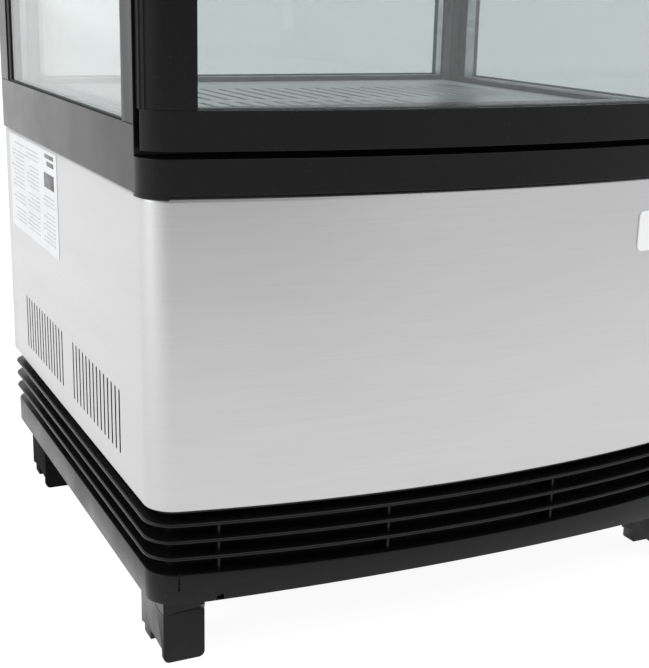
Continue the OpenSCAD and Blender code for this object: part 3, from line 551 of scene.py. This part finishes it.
def clear_glass(name, colour, polish, at_normal, veil):
    """Clear pane: mostly transparent, mirror-like at grazing angles, with a faint uneven film."""
    material = bpy.data.materials.new(name)
    material.use_nodes = True
    tree = material.node_tree
    nodes = tree.nodes
    nodes.remove(nodes["Principled BSDF"])
    output = nodes["Material Output"]
    see = nodes.new("ShaderNodeBsdfTransparent")
    see.inputs["Color"].default_value = (*colour, 1.0)
    gloss = nodes.new("ShaderNodeBsdfGlossy")
    gloss.inputs["Color"].default_value = (1.0, 1.0, 1.0, 1.0)
    film = noise(material, 14, detail=5.0, distortion=1.2)
    link(material, spread(material, film, polish, polish + 0.05), gloss, "Roughness")
    facing = nodes.new("ShaderNodeLayerWeight")
    facing.inputs["Blend"].default_value = 0.5
    power = nodes.new("ShaderNodeMath")
    power.operation = "POWER"
    power.inputs[1].default_value = 5.0
    link(material, facing.outputs["Facing"], power, 0)
    share = spread(material, power.outputs[0], at_normal, 1.0, 0.0, 1.0)
    mirror = nodes.new("ShaderNodeMixShader")
    link(material, share, mirror, 0)
    tree.links.new(see.outputs[0], mirror.inputs[1])
    tree.links.new(gloss.outputs[0], mirror.inputs[2])
    haze = nodes.new("ShaderNodeBsdfDiffuse")
    haze.inputs["Color"].default_value = (0.85, 0.88, 0.92, 1.0)
    dusty = nodes.new("ShaderNodeMixShader")
    link(material, spread(material, film, veil * 0.6, veil * 1.4), dusty, 0)
    tree.links.new(mirror.outputs[0], dusty.inputs[1])
    tree.links.new(haze.outputs[0], dusty.inputs[2])
    tree.links.new(dusty.outputs[0], output.inputs["Surface"])
    return material


def lit_diffuser(name):
    """Opal light cover, switched on at low power."""
    material = plain_plastic(name, (0.86, 0.87, 0.84), (0.95, 0.95, 0.93), 0.35, 900, 0.1, {
        "Emission Color": (1.0, 0.97, 0.9, 1.0),
        "Emission Strength": 0.25,
    })
    return material


MATERIALS = {
    "black_moulding": moulded_black(
        "black_moulding", shine=0.165, grain=0.35, mottle=0.04, smooth=0.2, rough=0.28),
    "brushed_stainless": brushed_steel("brushed_stainless", (0.54, 0.54, 0.545), (0.51, 0.51, 0.515)),
    "plated_steel": plated("plated_steel", (0.66, 0.66, 0.67), 0.22),
    "shelf_wire": plated("shelf_wire", (0.72, 0.72, 0.73), 0.14, 200),
    "galvanised_sheet": galvanised("galvanised_sheet"),
    "painted_panel": plain_plastic(
        "painted_panel", (0.014, 0.014, 0.015), (0.022, 0.022, 0.024), 0.42, 1600, 0.5),
    "dark_plastic": plain_plastic(
        "dark_plastic", (0.018, 0.018, 0.019), (0.03, 0.03, 0.031), 0.48, 1400, 0.45),
    "rubber": plain_plastic("rubber", (0.006, 0.006, 0.006), (0.012, 0.012, 0.012), 0.66, 800, 0.5),
    "clear_glass": clear_glass(
        "clear_glass", (0.908, 0.924, 0.922), polish=0.0, at_normal=0.04, veil=0.006),
    "white_liner": plain_plastic("white_liner", (0.74, 0.75, 0.75), (0.8, 0.81, 0.81), 0.38, 1000, 0.15),
    "foam_box": plain_plastic("foam_box", (0.80, 0.80, 0.77), (0.88, 0.88, 0.86), 0.7, 500, 0.8),
    "floor_sheet": brushed_steel("floor_sheet", (0.66, 0.67, 0.68), (0.60, 0.61, 0.62), 0.36),
    "copper": plated("copper", (0.75, 0.40, 0.26), 0.25, 90),
    "light_diffuser": lit_diffuser("light_diffuser"),
    "badge_plastic": plain_plastic("badge_plastic", (0.84, 0.84, 0.84), (0.9, 0.9, 0.9), 0.18, 600, 0.05),
    "label_film": plain_plastic("label_film", (0.60, 0.61, 0.62), (0.66, 0.67, 0.68), 0.4, 900, 0.1),
}
BASE_BLACK = moulded_black(
    "black_base_moulding", shine=0.2, grain=0.5, mottle=0.22, smooth=0.22, rough=0.36)
MATT_BLACK = moulded_black(
    "black_matt_moulding", shine=0.06, grain=0.6, mottle=0.2, smooth=0.7, rough=0.85)
PRINT_DARK = plain_plastic("print_dark", (0.12, 0.12, 0.125), (0.2, 0.2, 0.21), 0.5, 900, 0.1)
PRINT_FAINT = plain_plastic("print_faint", (0.42, 0.42, 0.43), (0.5, 0.5, 0.51), 0.5, 900, 0.1)


def slot_of(node):
    """Name of the record's material slot of a CAD node."""
    return NODES[node].data.materials[0].name.split(".")[0]


def stand_for(obj, *nodes, material=None):
    """obj takes the place, the body and the finish of these CAD nodes."""
    slot = slot_of(nodes[0])
    obj.data.materials.clear()
    obj.data.materials.append(material or MATERIALS[slot])
    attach(obj, BODY_OF[nodes[0]])
    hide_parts(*nodes)
    return obj


# ------------------------------------------------------------------ base

def arch_rise(x):
    """How far the lower edge of the tray's front rises above its sides at that x."""
    middle = 5.2
    drop = 4.9
    half_span = 184 * MM
    return max(0.0, middle - drop * (x / half_span) ** 2) * MM


def tray_rim():
    """Rim of the base tray: an inward ledge at the top, and an apron with a shallow arch in front."""
    ledge = [(-14, 16), (-0.9, 16), (-0.25, 15.75), (0, 15.1)]
    edge = [(0, -3.5), (-0.15, -3.85), (-0.5, -4), (-2.6, -4), (-3, -3.6)]
    inner = [(-3, 0), (-34, 0), (-34, 3), (-3, 3), (-3, 13), (-14, 13)]
    rings = plan_rings(ledge + edge + inner, Z_TRAY, BASE_REAR_R)
    for i in range(len(ledge), len(ledge) + len(edge)):
        rings[i] = [(x, y, z + arch_rise(x) if y < 0 else z) for x, y, z in rings[i]]
    bm = bmesh.new()
    add_loft(bm, rings, hollow=True)
    rim = new_object("tray_rim", bm)
    cut_notches(rim)
    cut_parting_grooves(rim)
    return stand_for(sharpen(rim), "base_tray", material=BASE_BLACK)


def cut_notches(rim):
    """A small blind notch low in the apron near each end of the front."""
    notch_x = 174 * MM
    half_w = 2.2 * MM
    y0 = Y_CORNER - 20 * MM
    y1 = Y_CORNER - 6.2 * MM
    z0 = Z_TRAY - 2.7 * MM
    z1 = Z_TRAY + MM
    cut_boxes(rim, [((x - half_w, y0, z0), (x + half_w, y1, z1)) for x in (-notch_x, notch_x)])


def cut_parting_grooves(rim):
    """A fine upright groove in the apron by each front corner."""
    groove_x = 199 * MM
    groove_y = Y_CORNER - 3.1 * MM
    grooves = bmesh.new()
    for x in (-groove_x, groove_x):
        outline = arc(x, groove_y, 0.8 * MM, 0, 2 * math.pi, 12)[:-1]
        add_prism(grooves, outline, Z_TRAY + 5.2 * MM, Z_SKIRT + MM)
    cut(rim, grooves)


def tray_floor():
    """Floor of the base tray with its row of air intake slots."""
    inset = 33 * MM
    plate = slab("tray_floor", Z_TRAY + 0.2 * MM, Z_TRAY + 2.8 * MM, -inset, 3 * MM)
    first_x = -146 * MM
    pitch = 26 * MM
    slot_r = 4 * MM
    front_y = -86 * MM
    rear_y = 16 * MM
    slots = bmesh.new()
    for i in range(12):
        x = first_x + i * pitch
        outline = arc(x, rear_y, slot_r, 0, math.pi, 6)
        outline += arc(x, front_y, slot_r, math.pi, 2 * math.pi, 6)
        add_prism(slots, outline, Z_TRAY - MM, Z_TRAY + 4 * MM)
    cut(plate, slots)
    return stand_for(sharpen(plate), "base_tray", material=BASE_BLACK)


def tray_bosses():
    """The tray's bosses above the feet. The front ones lean in from the apron to the feet, and get
    narrower forwards on their inner side."""
    foot_z = Z_TRAY - 12 * MM
    top = 12.5
    narrowing = 0.3
    bm = bmesh.new()
    for node, lead in (("foot_front_left", 12), ("foot_front_right", 12),
                       ("foot_rear_left", 1.5), ("foot_rear_right", 1.5)):
        a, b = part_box(node)
        profile = [(-0.5, 0), (15, 0), (24, top), (-lead, top), (-lead, lead - 0.5)]
        rings = []
        for x in (a.x, b.x):
            inner = x > a.x if a.x < 0 else x < b.x
            shift = math.copysign(narrowing * MM, x) if inner else 0.0
            rings.append([(x - shift * min(y, 0), a.y + y * MM, foot_z + z * MM) for y, z in profile])
        add_loft(bm, rings, hollow=False)
    bosses = new_object("tray_bosses", bm)
    within = plan_outline(-0.02 * MM, BASE_REAR_R)
    keep(bosses, add_prism(bmesh.new(), within, foot_z - MM, Z_TRAY + MM))
    return stand_for(soften(bosses, 0.6 * MM), "base_tray", material=BASE_BLACK)


def louvre_skirt():
    """Three thin fins with round edges, the wall behind them, the ribs and the top flange."""
    fin_reach = 1.5
    fin_half = 1.2
    wall_front = -14
    wall_back = -17
    bm = bmesh.new()
    for level in (12, 23, 34):
        nose = arc(fin_reach - fin_half, level - fin_half, fin_half, -math.pi / 2, math.pi / 2, 8)
        root = wall_front - 0.6
        profile = nose + [(root, level), (root, level - 2 * fin_half)]
        add_loft(bm, plan_rings(profile, Z_SKIRT, BASE_REAR_R), hollow=True)
    top = (Z_STEEL - Z_SKIRT) / MM
    wall = [(wall_front, 0), (wall_front, top - 2.5), (wall_back, top - 2.5), (wall_back, 0)]
    add_loft(bm, plan_rings(wall, Z_SKIRT, BASE_REAR_R + 2 * MM), hollow=True)
    flange = [(-5.5, top), (-5, top - 0.5), (-5, top - 2.5), (-5.5, top - 3)]
    flange += [(wall_back, top - 3), (wall_back, top)]
    add_loft(bm, plan_rings(flange, Z_SKIRT, BAND_REAR_R), hollow=True)
    for x in (-173.5 * MM, -63 * MM, 63 * MM, 173.5 * MM):
        add_rib(bm, x, BOW_Y - math.sqrt((BOW_R - 4 * MM) ** 2 - x ** 2))
    for x in (-120 * MM, 0, 120 * MM):
        add_rib(bm, x, Y_REAR - 15 * MM)
    skirt = new_object("skirt_louvres", bm)
    return stand_for(sharpen(skirt, 40), "louvre_skirt", material=BASE_BLACK)


def add_rib(bm, x, y):
    """Upright rib of the skirt, from y backwards."""
    half_w = 0.8 * MM
    add_box(bm, (x - half_w, y, Z_SKIRT), (x + half_w, y + 11 * MM, Z_SKIRT + 33 * MM))


def feet():
    for node in ("foot_front_left", "foot_front_right", "foot_rear_left", "foot_rear_right"):
        foot = soften(node_copy(node, node + "_moulding"), 0.6 * MM)
        stand_for(foot, node, material=MATT_BLACK if "rear" in node else BASE_BLACK)


# ------------------------------------------------------------------ steel housing

def steel_path():
    """Outer face of the steel from its rear left fold round the front to the rear right fold."""
    fold_x = 202 * MM
    fold_y = low("rear_service_panel").y + MM
    bend = 1.8 * MM
    front = [p for p in plan_outline(0.0, bend) if p[1] < Y_REAR - bend - 1e-6]
    left = [(-fold_x, fold_y)]
    left += arc(-fold_x - bend, Y_REAR - bend, bend, 0, math.pi / 2, 6)
    left += arc(-BODY_HW + bend, Y_REAR - bend, bend, math.pi / 2, math.pi, 6)
    right = [(-x, y) for x, y in left[::-1]]
    return left + front + right


def path_normals(path):
    """Outward normals along an open anticlockwise path."""
    normals = []
    for i in range(len(path)):
        a = path[max(i - 1, 0)]
        b = path[min(i + 1, len(path) - 1)]
        length = math.hypot(b[0] - a[0], b[1] - a[1])
        normals.append(((b[1] - a[1]) / length, -(b[0] - a[0]) / length))
    return normals


def steel_wrap():
    """One sheet with turned-in edges, which get narrow at the rear folds, and vents in both sides."""
    sheet = 0.6
    height = (Z_BAND - Z_STEEL) / MM
    bend = 1.6
    roll = 4.0
    full_depth = 1.0
    fold_share = 0.12
    fold_y = Y_REAR - 12 * MM
    lower = [(-9, 0)] + arc(-bend, bend, bend, -math.pi / 2, 0, 5)
    upper = arc(-roll, height - roll, roll, 0, math.pi / 2, 10) + [(-8, height)]
    inner = [(-8, height - sheet)] + arc(-roll, height - roll, roll - sheet, math.pi / 2, 0, 5)
    inner += [(-sheet, bend), (-bend, sheet), (-9, sheet)]
    profile = lower + upper + inner
    rings = []
    path = steel_path()
    for (x, y), (nx, ny) in zip(path, path_normals(path)):
        share = 1.0 if y < fold_y and nx * x + ny * y > 0 else fold_share
        ring = []
        for o, z in profile:
            inward = o if o >= -full_depth else -full_depth + (o + full_depth) * share
            ring.append((x + nx * inward * MM, y + ny * inward * MM, Z_STEEL + z * MM))
        rings.append(ring)
    bm = bmesh.new()
    add_loft(bm, rings, hollow=False)
    wrap = new_object("steel_housing", bm)
    cut_vents(wrap)
    return stand_for(sharpen(wrap, 30), "steel_wrap")


def cut_vents(wrap):
    """Two groups of upright slots through each steel side, with round ends."""
    pitch = 9 * MM
    r = 1.5 * MM
    z0 = Z_STEEL + 17 * MM
    z1 = Z_STEEL + 60 * MM
    slots = bmesh.new()
    for first in (64 * MM, 214 * MM):
        for i in range(14):
            y = Y_CORNER + first + i * pitch
            outline = arc(y, z1 - r, r, 0, math.pi, 6) + arc(y, z0 + r, r, math.pi, 2 * math.pi, 6)
            for x0, x1 in ((-BODY_HW - 2 * MM, -BODY_HW + 3 * MM), (BODY_HW - 3 * MM, BODY_HW + 2 * MM)):
                add_loft(slots, [[(x, v, w) for v, w in outline] for x in (x0, x1)], hollow=False)
    cut(wrap, slots)


def fascia_band():
    """Black band above the steel, with the sills that carry the glass."""
    band = slab("fascia_moulding", Z_BAND, Z_RAIL, PROUD, MOULDING_REAR_R)
    cut_boxes(band, [((-FAR, -FAR, Z_DECK), (FAR, Y_POST, Z_RAIL + MM))])
    cut_boxes(band, [((-INNER_HW, Y_SILL, Z_BAND - MM), (INNER_HW, Y_INSIDE_REAR, Z_RAIL + MM))])
    cut_boxes(band, glass_seats(low("side_glass_left").z - 0.5 * MM, Z_RAIL + MM))
    stand_for(soften(band, 0.8 * MM), "fascia_band")


def fascia_lips():
    """Lips of the black band that reach down over the steel's two front corners."""
    z0 = low("fascia_band").z
    z1 = Z_BAND + MM
    lip_x = 203 * MM
    lips = slab("fascia_lips", z0, z1, PROUD, MOULDING_REAR_R)
    steel = plan_outline(0.2 * MM, MOULDING_REAR_R)
    cut(lips, add_prism(bmesh.new(), steel, z0 - MM, z1 + MM))
    corners = bmesh.new()
    for x0, x1 in ((-FAR, -lip_x), (lip_x, FAR)):
        add_box(corners, (x0, Y_CORNER - 20 * MM, z0 - MM), (x1, Y_CORNER + 18 * MM, z1 + MM))
    keep(lips, corners)
    stand_for(soften(lips, 0.3 * MM), "fascia_band")


def glass_seats(z0, z1):
    """Grooves for the side and rear glass between two levels."""
    y0 = FRONT_POST_BACK - SEAT_DEPTH
    y1 = REAR_POST_FRONT + SEAT_DEPTH
    side = BODY_HW - GLASS_UNIT
    rear_hw = INNER_HW + SEAT_DEPTH
    return [
        ((-BODY_HW, y0, z0), (-side, y1, z1)),
        ((side, y0, z0), (BODY_HW, y1, z1)),
        ((-rear_hw, Y_INSIDE_REAR, z0), (rear_hw, Y_REAR_GLASS, z1)),
    ]


def badge():
    """Plain white badge with a domed face in a thin rim."""
    a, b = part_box("badge")
    centre = (a.x + b.x) / 2
    half_w = (b.x - a.x) / 2
    half_h = (b.z - a.z) / 2
    mid_z = (a.z + b.z) / 2
    corner_r = 4 * MM
    profile = ((0, 0.0), (0, 0.7), (0.5, 1.0), (2.0, 1.0), (2.4, 0.8), (3.0, 0.8), (6.0, 1.15))
    rings = []
    for inset, rise in profile:
        w = half_w - inset * MM
        h = half_h - inset * MM
        r = max(corner_r - inset * MM * 0.6, 0.5 * MM)
        outline = round_corners(-w, -h, w, h, r, 5)
        ring = []
        for u, v in outline:
            x = centre + u
            front = BOW_Y - math.sqrt((BOW_R + rise * MM) ** 2 - x ** 2)
            ring.append((x, front, mid_z + v))
        rings.append(ring)
    bm = bmesh.new()
    add_loft(bm, rings, hollow=False)
    return stand_for(sharpen(new_object("badge_plate", bm), 50), "badge")


def rating_label():
    """Blank film label with rows of plain grey bars where the print would be."""
    a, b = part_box("rating_label")
    face = a.x + 0.1 * MM
    outline = round_corners(a.y, a.z, b.y, b.z - 1.4 * MM, 2 * MM, 4)
    bm = bmesh.new()
    add_loft(bm, [[(x, y, z) for y, z in outline] for x in (b.x, face)], hollow=False)
    stand_for(sharpen(new_object("label_sheet", bm)), "rating_label")

    margin = 9
    heads = bmesh.new()
    for width, height, drop in ((27, 3, 7), (21, 3.4, 12.5), (31, 11, 29)):
        add_bar(heads, face, a.y + margin * MM, width * MM, b.z - drop * MM, height * MM)
    printed("label_heads", heads, PRINT_DARK)

    line_pitch = 3.1
    last_line = 72
    dice = random.Random(7)
    small = bmesh.new()
    for column, width, first_line in ((margin, 40, 36), (58, 44, 8), (108, 44, 8)):
        line = first_line
        while line < last_line:
            y = a.y + column * MM
            end = y + width * MM * dice.uniform(0.7, 1.0)
            while y < end - 3 * MM:
                word = dice.uniform(3, 9) * MM
                add_bar(small, face, y, word, b.z - line * MM, 0.8 * MM)
                y += word + 1.4 * MM
            line += line_pitch if dice.random() < 0.9 else 2 * line_pitch
    printed("label_lines", small, PRINT_FAINT)


def add_bar(bm, face, y, length, z, height):
    """Bar of print that stands a hair proud of the label's face."""
    add_box(bm, (face - 0.05 * MM, y, z), (face + 0.02 * MM, y + length, z + height))


def printed(name, bm, material):
    obj = new_object(name, bm)
    obj.data.materials.append(material)
    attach(obj, BODY_OF["rating_label"])


# ------------------------------------------------------------------ glass cabinet

def post_blank(node, side):
    """The plan's corner within the CAD post's box."""
    post = slab(node + "_moulding", Z_RAIL, Z_RAIL_TOP, PROUD, MOULDING_REAR_R)
    a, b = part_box(node)
    x0 = a.x - MM if side < 0 else a.x
    x1 = b.x if side < 0 else b.x + MM
    y1 = b.y if "front" in node else b.y + MM
    return keep(post, add_box(bmesh.new(), (x0, a.y, a.z - MM), (x1, y1, b.z + MM)))


def front_post(node, side):
    """Post behind the door, with its groove for the side glass."""
    post = post_blank(node, side)
    a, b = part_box(node)
    cut_post(post, side, (b.y - SEAT_DEPTH, b.y + MM), [], a.y + 18 * MM)
    return stand_for(soften(post, 0.7 * MM), node)


def rear_post(node, side):
    """Rear post with grooves for the side and rear glass."""
    post = post_blank(node, side)
    front = low(node).y
    inner = sorted((side * (INNER_HW - MM), side * (INNER_HW + SEAT_DEPTH)))
    rear_seat = ((inner[0], Y_INSIDE_REAR, Z_RAIL - MM), (inner[1], Y_REAR_GLASS, Z_RAIL_TOP + MM))
    cut_post(post, side, (front - MM, front + SEAT_DEPTH), [rear_seat], front + 8 * MM)
    return stand_for(soften(post, 0.7 * MM), node)


def cut_post(post, side, seat_y, more, slot_y):
    """Cuts the side glass seat, any other boxes and the ladder of shelf slots."""
    seat = sorted((side * BODY_HW, side * (BODY_HW - GLASS_UNIT)))
    boxes = [((seat[0], seat_y[0], Z_RAIL - MM), (seat[1], seat_y[1], Z_RAIL_TOP + MM))] + more
    cut_boxes(post, boxes)
    depth = 3 * MM
    slot_height = 12 * MM
    pitch = 22 * MM
    half_w = 2 * MM
    wall = sorted((side * (INNER_HW - depth), side * (INNER_HW + depth)))
    slots = []
    z = Z_RAIL + 55 * MM
    while z < Z_RAIL_TOP - 40 * MM:
        slots.append(((wall[0], slot_y - half_w, z), (wall[1], slot_y + half_w, z + slot_height)))
        z += pitch
    cut_boxes(post, slots)


def panes(node, slices):
    """Glass panes as thin boxes with ground edges."""
    bm = bmesh.new()
    for a, b in slices:
        add_box(bm, a, b)
    return stand_for(soften(new_object(node + "_panes", bm), 0.5 * MM), node)


def glass_units():
    for node, side in (("side_glass_left", -1), ("side_glass_right", 1)):
        a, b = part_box(node)
        outer = b.x if side > 0 else a.x
        inner = a.x if side > 0 else b.x
        slices = []
        for face, way in ((outer, -side), (inner, side)):
            x0, x1 = sorted((face, face + way * PANE))
            slices.append(((x0, a.y, a.z), (x1, b.y, b.z)))
        panes(node, slices)
    a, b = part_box("rear_glass")
    panes("rear_glass", [
        ((a.x, a.y, a.z), (b.x, a.y + PANE, b.z)),
        ((a.x, b.y - PANE, a.z), (b.x, b.y, b.z)),
    ])


def wire_shelf(node):
    """Plated wire shelf: a bent rim, thin wires from front to rear and a raised rear stop."""
    a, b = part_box(node)
    rim = 2.2 * MM
    bar = 1.8 * MM
    wire = 1.6 * MM
    z = a.z + rim
    y0, y1 = a.y + rim, b.y - rim
    half_w = b.x - rim
    bend = 9 * MM
    outline = round_corners(-half_w, y0, half_w, y1, bend, 6)
    bm = bmesh.new()
    add_tube(bm, [(x, y, z) for x, y in outline], rim, Vector((0, 0, 1)), closed=True)
    mid = (y0 + y1) / 2
    bar_z = z - 0.4 * MM
    add_rod(bm, (-half_w, mid, bar_z), (half_w, mid, bar_z), bar)
    count = 20
    reach = half_w - 10 * MM
    wire_z = z + wire * 0.7
    for i in range(count):
        x = -reach + 2 * reach * i / (count - 1)
        add_rod(bm, (x, y0, wire_z), (x, y1, wire_z), wire, 10)
    stop_hw = half_w - 14 * MM
    top = z + 22.4 * MM
    lift = [(-stop_hw, y1, z)]
    lift += [(x, y1, w) for x, w in arc(-stop_hw + bend, top - bend, bend, math.pi, math.pi / 2, 6)]
    lift += [(x, y1, w) for x, w in arc(stop_hw - bend, top - bend, bend, math.pi / 2, 0, 6)]
    lift += [(stop_hw, y1, z)]
    add_tube(bm, lift, wire, Vector((0, 1, 0)), closed=False)
    return stand_for(sharpen(new_object(node + "_wires", bm), 50), node)


def add_tube(bm, points, r, normal, closed, sides=12):
    """Round tube along points that lie in the plane with that normal."""
    points = [Vector(p) for p in points]
    rings = []
    for i, p in enumerate(points):
        before = points[i - 1] if closed or i else p
        after = points[(i + 1) % len(points)] if closed or i < len(points) - 1 else p
        side = (after - before).normalized().cross(normal)
        turns = [2 * math.pi * k / sides for k in range(sides)]
        rings.append([p + (side * math.cos(t) + normal * math.sin(t)) * r for t in turns])
    add_loft(bm, rings, hollow=closed)


# ------------------------------------------------------------------ canopy

def canopy():
    """Sill moulding, brushed steel band and crowned lid above the door."""
    frame_top = low("canopy_wrap").z
    below = Z_RAIL_TOP - MM
    sill = slab("canopy_moulding", Z_RAIL_TOP, frame_top, PROUD, MOULDING_REAR_R)
    cut_boxes(sill, [((-FAR, -FAR, below), (FAR, Y_POST, Z_CANOPY))])
    cut_boxes(sill, [((-INNER_HW, Y_SILL, below), (INNER_HW, Y_INSIDE_REAR, frame_top + MM))])
    cut_boxes(sill, glass_seats(below, Z_RAIL_TOP + SEAT_DEPTH))
    stand_for(soften(sill, 0.8 * MM), "canopy_frame")

    height = (high("canopy_wrap").z - frame_top) / MM
    outer = [(-1, 0), (-0.3, 0), (0, 0.5), (0, height - 0.5), (-0.3, height), (-1, height)]
    bm = bmesh.new()
    add_loft(bm, plan_rings(outer, frame_top, BAND_REAR_R), hollow=True)
    stand_for(sharpen(new_object("canopy_band", bm)), "canopy_wrap")

    z0 = high("canopy_wrap").z
    top = (Z_TOP - z0) / MM
    edge = [(-4, 0), (1.2, 0), (1.8, 0.4), (2, 1), (2, top - 5)]
    shoulder = [(1.6, top - 3.9), (0.7, top - 2.8), (-1, top - 1.8)]
    crown = [(-4, top - 1), (-12, top - 0.4), (-40, top)]
    bm = bmesh.new()
    add_loft(bm, plan_rings(edge + shoulder + crown, z0, MOULDING_REAR_R), hollow=False)
    stand_for(sharpen(new_object("canopy_cover", bm)), "canopy_lid")


# ------------------------------------------------------------------ door

def door_blank(name, z0, z1, r_left, r_right):
    """Door body between two levels, from the bowed front to the flat back with round corners."""
    blank = slab(name, z0, z1, PROUD, MOULDING_REAR_R)
    outline = [(-OUTER_HW, -FAR), (OUTER_HW, -FAR)]
    outline += arc(OUTER_HW - r_right, Y_DOOR - r_right, r_right, 0, math.pi / 2, 8)
    outline += arc(r_left - OUTER_HW, Y_DOOR - r_left, r_left, math.pi / 2, math.pi, 8)
    return keep(blank, add_prism(bmesh.new(), outline, z0 - MM, z1 + MM))


def cut_glass_seat(obj):
    """Cuts the seat of the door's glass unit, with a little room all round."""
    a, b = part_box("door_glass")
    room = 0.3 * MM
    edge = 0.4 * MM
    bm = bmesh.new()
    add_bow_plate(bm, UNIT_BACK - room, UNIT_FRONT + room, DOOR_GLASS_HW + edge, a.z - edge, b.z + edge)
    return cut(obj, bm)


def door_rails():
    """Rails across the door's bottom and top, with the bores for the hinge bushes."""
    a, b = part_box("door_bushes")
    hinge = ((a.x + b.x) / 2, (a.y + b.y) / 2)
    bush_r = (b.x - a.x) / 2
    depth = 14 * MM
    for node, z0, z1, bore_z in (
        ("door_rail_bottom", Z_DOOR, Z_DOOR + DOOR_RAIL, (Z_DOOR - MM, Z_DOOR + depth)),
        ("door_rail_top", Z_DOOR_TOP - DOOR_RAIL, Z_DOOR_TOP, (Z_DOOR_TOP - depth, Z_DOOR_TOP + MM)),
    ):
        rail = door_blank(node + "_moulding", z0, z1, DOOR_BACK_R, DOOR_BACK_R)
        cut_glass_seat(rail)
        bore = arc(*hinge, bush_r, 0, 2 * math.pi, 32)[:-1]
        cut(rail, add_prism(bmesh.new(), bore, *bore_z))
        stand_for(soften(rail, 0.5 * MM), node)


def door_stiles():
    """Upright sides of the door. The left one has the finger grooves."""
    z0 = Z_DOOR + DOOR_RAIL
    z1 = Z_DOOR_TOP - DOOR_RAIL
    for node, side, r_left in (("door_stile_left", -1, 1.5 * MM), ("door_stile_right", 1, DOOR_BACK_R)):
        stile = door_blank(node + "_moulding", z0, z1, r_left, DOOR_BACK_R)
        x0, x1 = sorted((side * OPEN_HW, side * FAR))
        keep(stile, add_box(bmesh.new(), (x0, -FAR, z0 - MM), (x1, 0, z1 + MM)))
        cut_glass_seat(stile)
        if side < 0:
            cut(stile, finger_grooves(z0 - MM, z1 + MM))
        stand_for(soften(stile, 0.4 * MM), node)


def finger_grooves(z0, z1):
    """Three fine grooves down the handle side's round corner."""
    bm = bmesh.new()
    cx = CORNER_R - BODY_HW
    cy = BOW_Y - math.sqrt((BOW_R - CORNER_R) ** 2 - cx ** 2)
    reach = CORNER_R + PROUD + 0.3 * MM
    for degrees in (14, 24, 34):
        turn = math.pi + math.radians(degrees)
        x = cx + reach * math.cos(turn)
        y = cy + reach * math.sin(turn)
        add_prism(bm, arc(x, y, 1.1 * MM, 0, 2 * math.pi, 16)[:-1], z0, z1)
    return bm


def door_glass():
    """The door's two curved panes and the black spacer between them."""
    a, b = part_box("door_glass")
    back_face = UNIT_BACK + PANE
    front_face = UNIT_FRONT - PANE
    bm = bmesh.new()
    add_bow_plate(bm, front_face, UNIT_FRONT, DOOR_GLASS_HW, a.z, b.z)
    add_bow_plate(bm, UNIT_BACK, back_face, DOOR_GLASS_HW, a.z, b.z)
    stand_for(soften(new_object("door_panes", bm), 0.5 * MM), "door_glass")

    gap = 0.2 * MM
    bm = bmesh.new()
    add_bow_plate(bm, back_face + gap, front_face - gap, DOOR_GLASS_HW, a.z, b.z)
    spacer = new_object("door_glass_spacer", bm)
    cut_boxes(spacer, [((-OPEN_HW, -FAR, a.z + SEAT_DEPTH), (OPEN_HW, 0, b.z - SEAT_DEPTH))])
    stand_for(soften(spacer, 0.4 * MM), "door_spacer", material=MATERIALS["rubber"])


# ------------------------------------------------------------------ everything else

SOFTENED = {                                 # rounding of each node's edges, in millimetres
    "door_gasket": 0.6,
    "glazing_gaskets": 0.4,
    "hinge_plate_lower": 0.3,
    "hinge_plate_upper": 0.3,
    "shelf_clips": 0.4,
    "led_strips": 0.4,
    "rear_service_panel": 0.25,
    "cabinet_floor": 0.8,
    "floor_grille": 0.4,
    "ceiling_panel": 0.5,
    "thermostat_knob": 0.3,
    "light_rocker": 0.4,
    "cord_gland": 0.5,
    "evaporator_box": 1.5,
    "compressor": 0.8,
    "compressor_relay_box": 1.5,
    "condensate_pan": 0.8,
    "condenser_shroud": 0.8,
}


def softened_nodes():
    """Pieces with the CAD node's own shape and rounded edges."""
    for node, width in SOFTENED.items():
        stand_for(soften(node_copy(node, node + "_piece"), width * MM), node)


def finish_cad_nodes():
    """Gives every CAD node that still shows its procedural material."""
    for node, obj in NODES.items():
        if obj.hide_render:
            continue
        slot = slot_of(node)
        for place in obj.material_slots:
            place.material = MATERIALS[slot]


make_camera()
make_world()
make_floor()
make_lights()
bpy.context.scene.view_settings.view_transform = "Standard"

tray_rim()
tray_floor()
tray_bosses()
louvre_skirt()
feet()
steel_wrap()
fascia_band()
fascia_lips()
badge()
rating_label()
front_post("post_front_left", -1)
front_post("post_front_right", 1)
rear_post("post_rear_left", -1)
rear_post("post_rear_right", 1)
glass_units()
wire_shelf("shelf_lower")
wire_shelf("shelf_upper")
canopy()
door_rails()
door_stiles()
door_glass()
softened_nodes()
finish_cad_nodes()
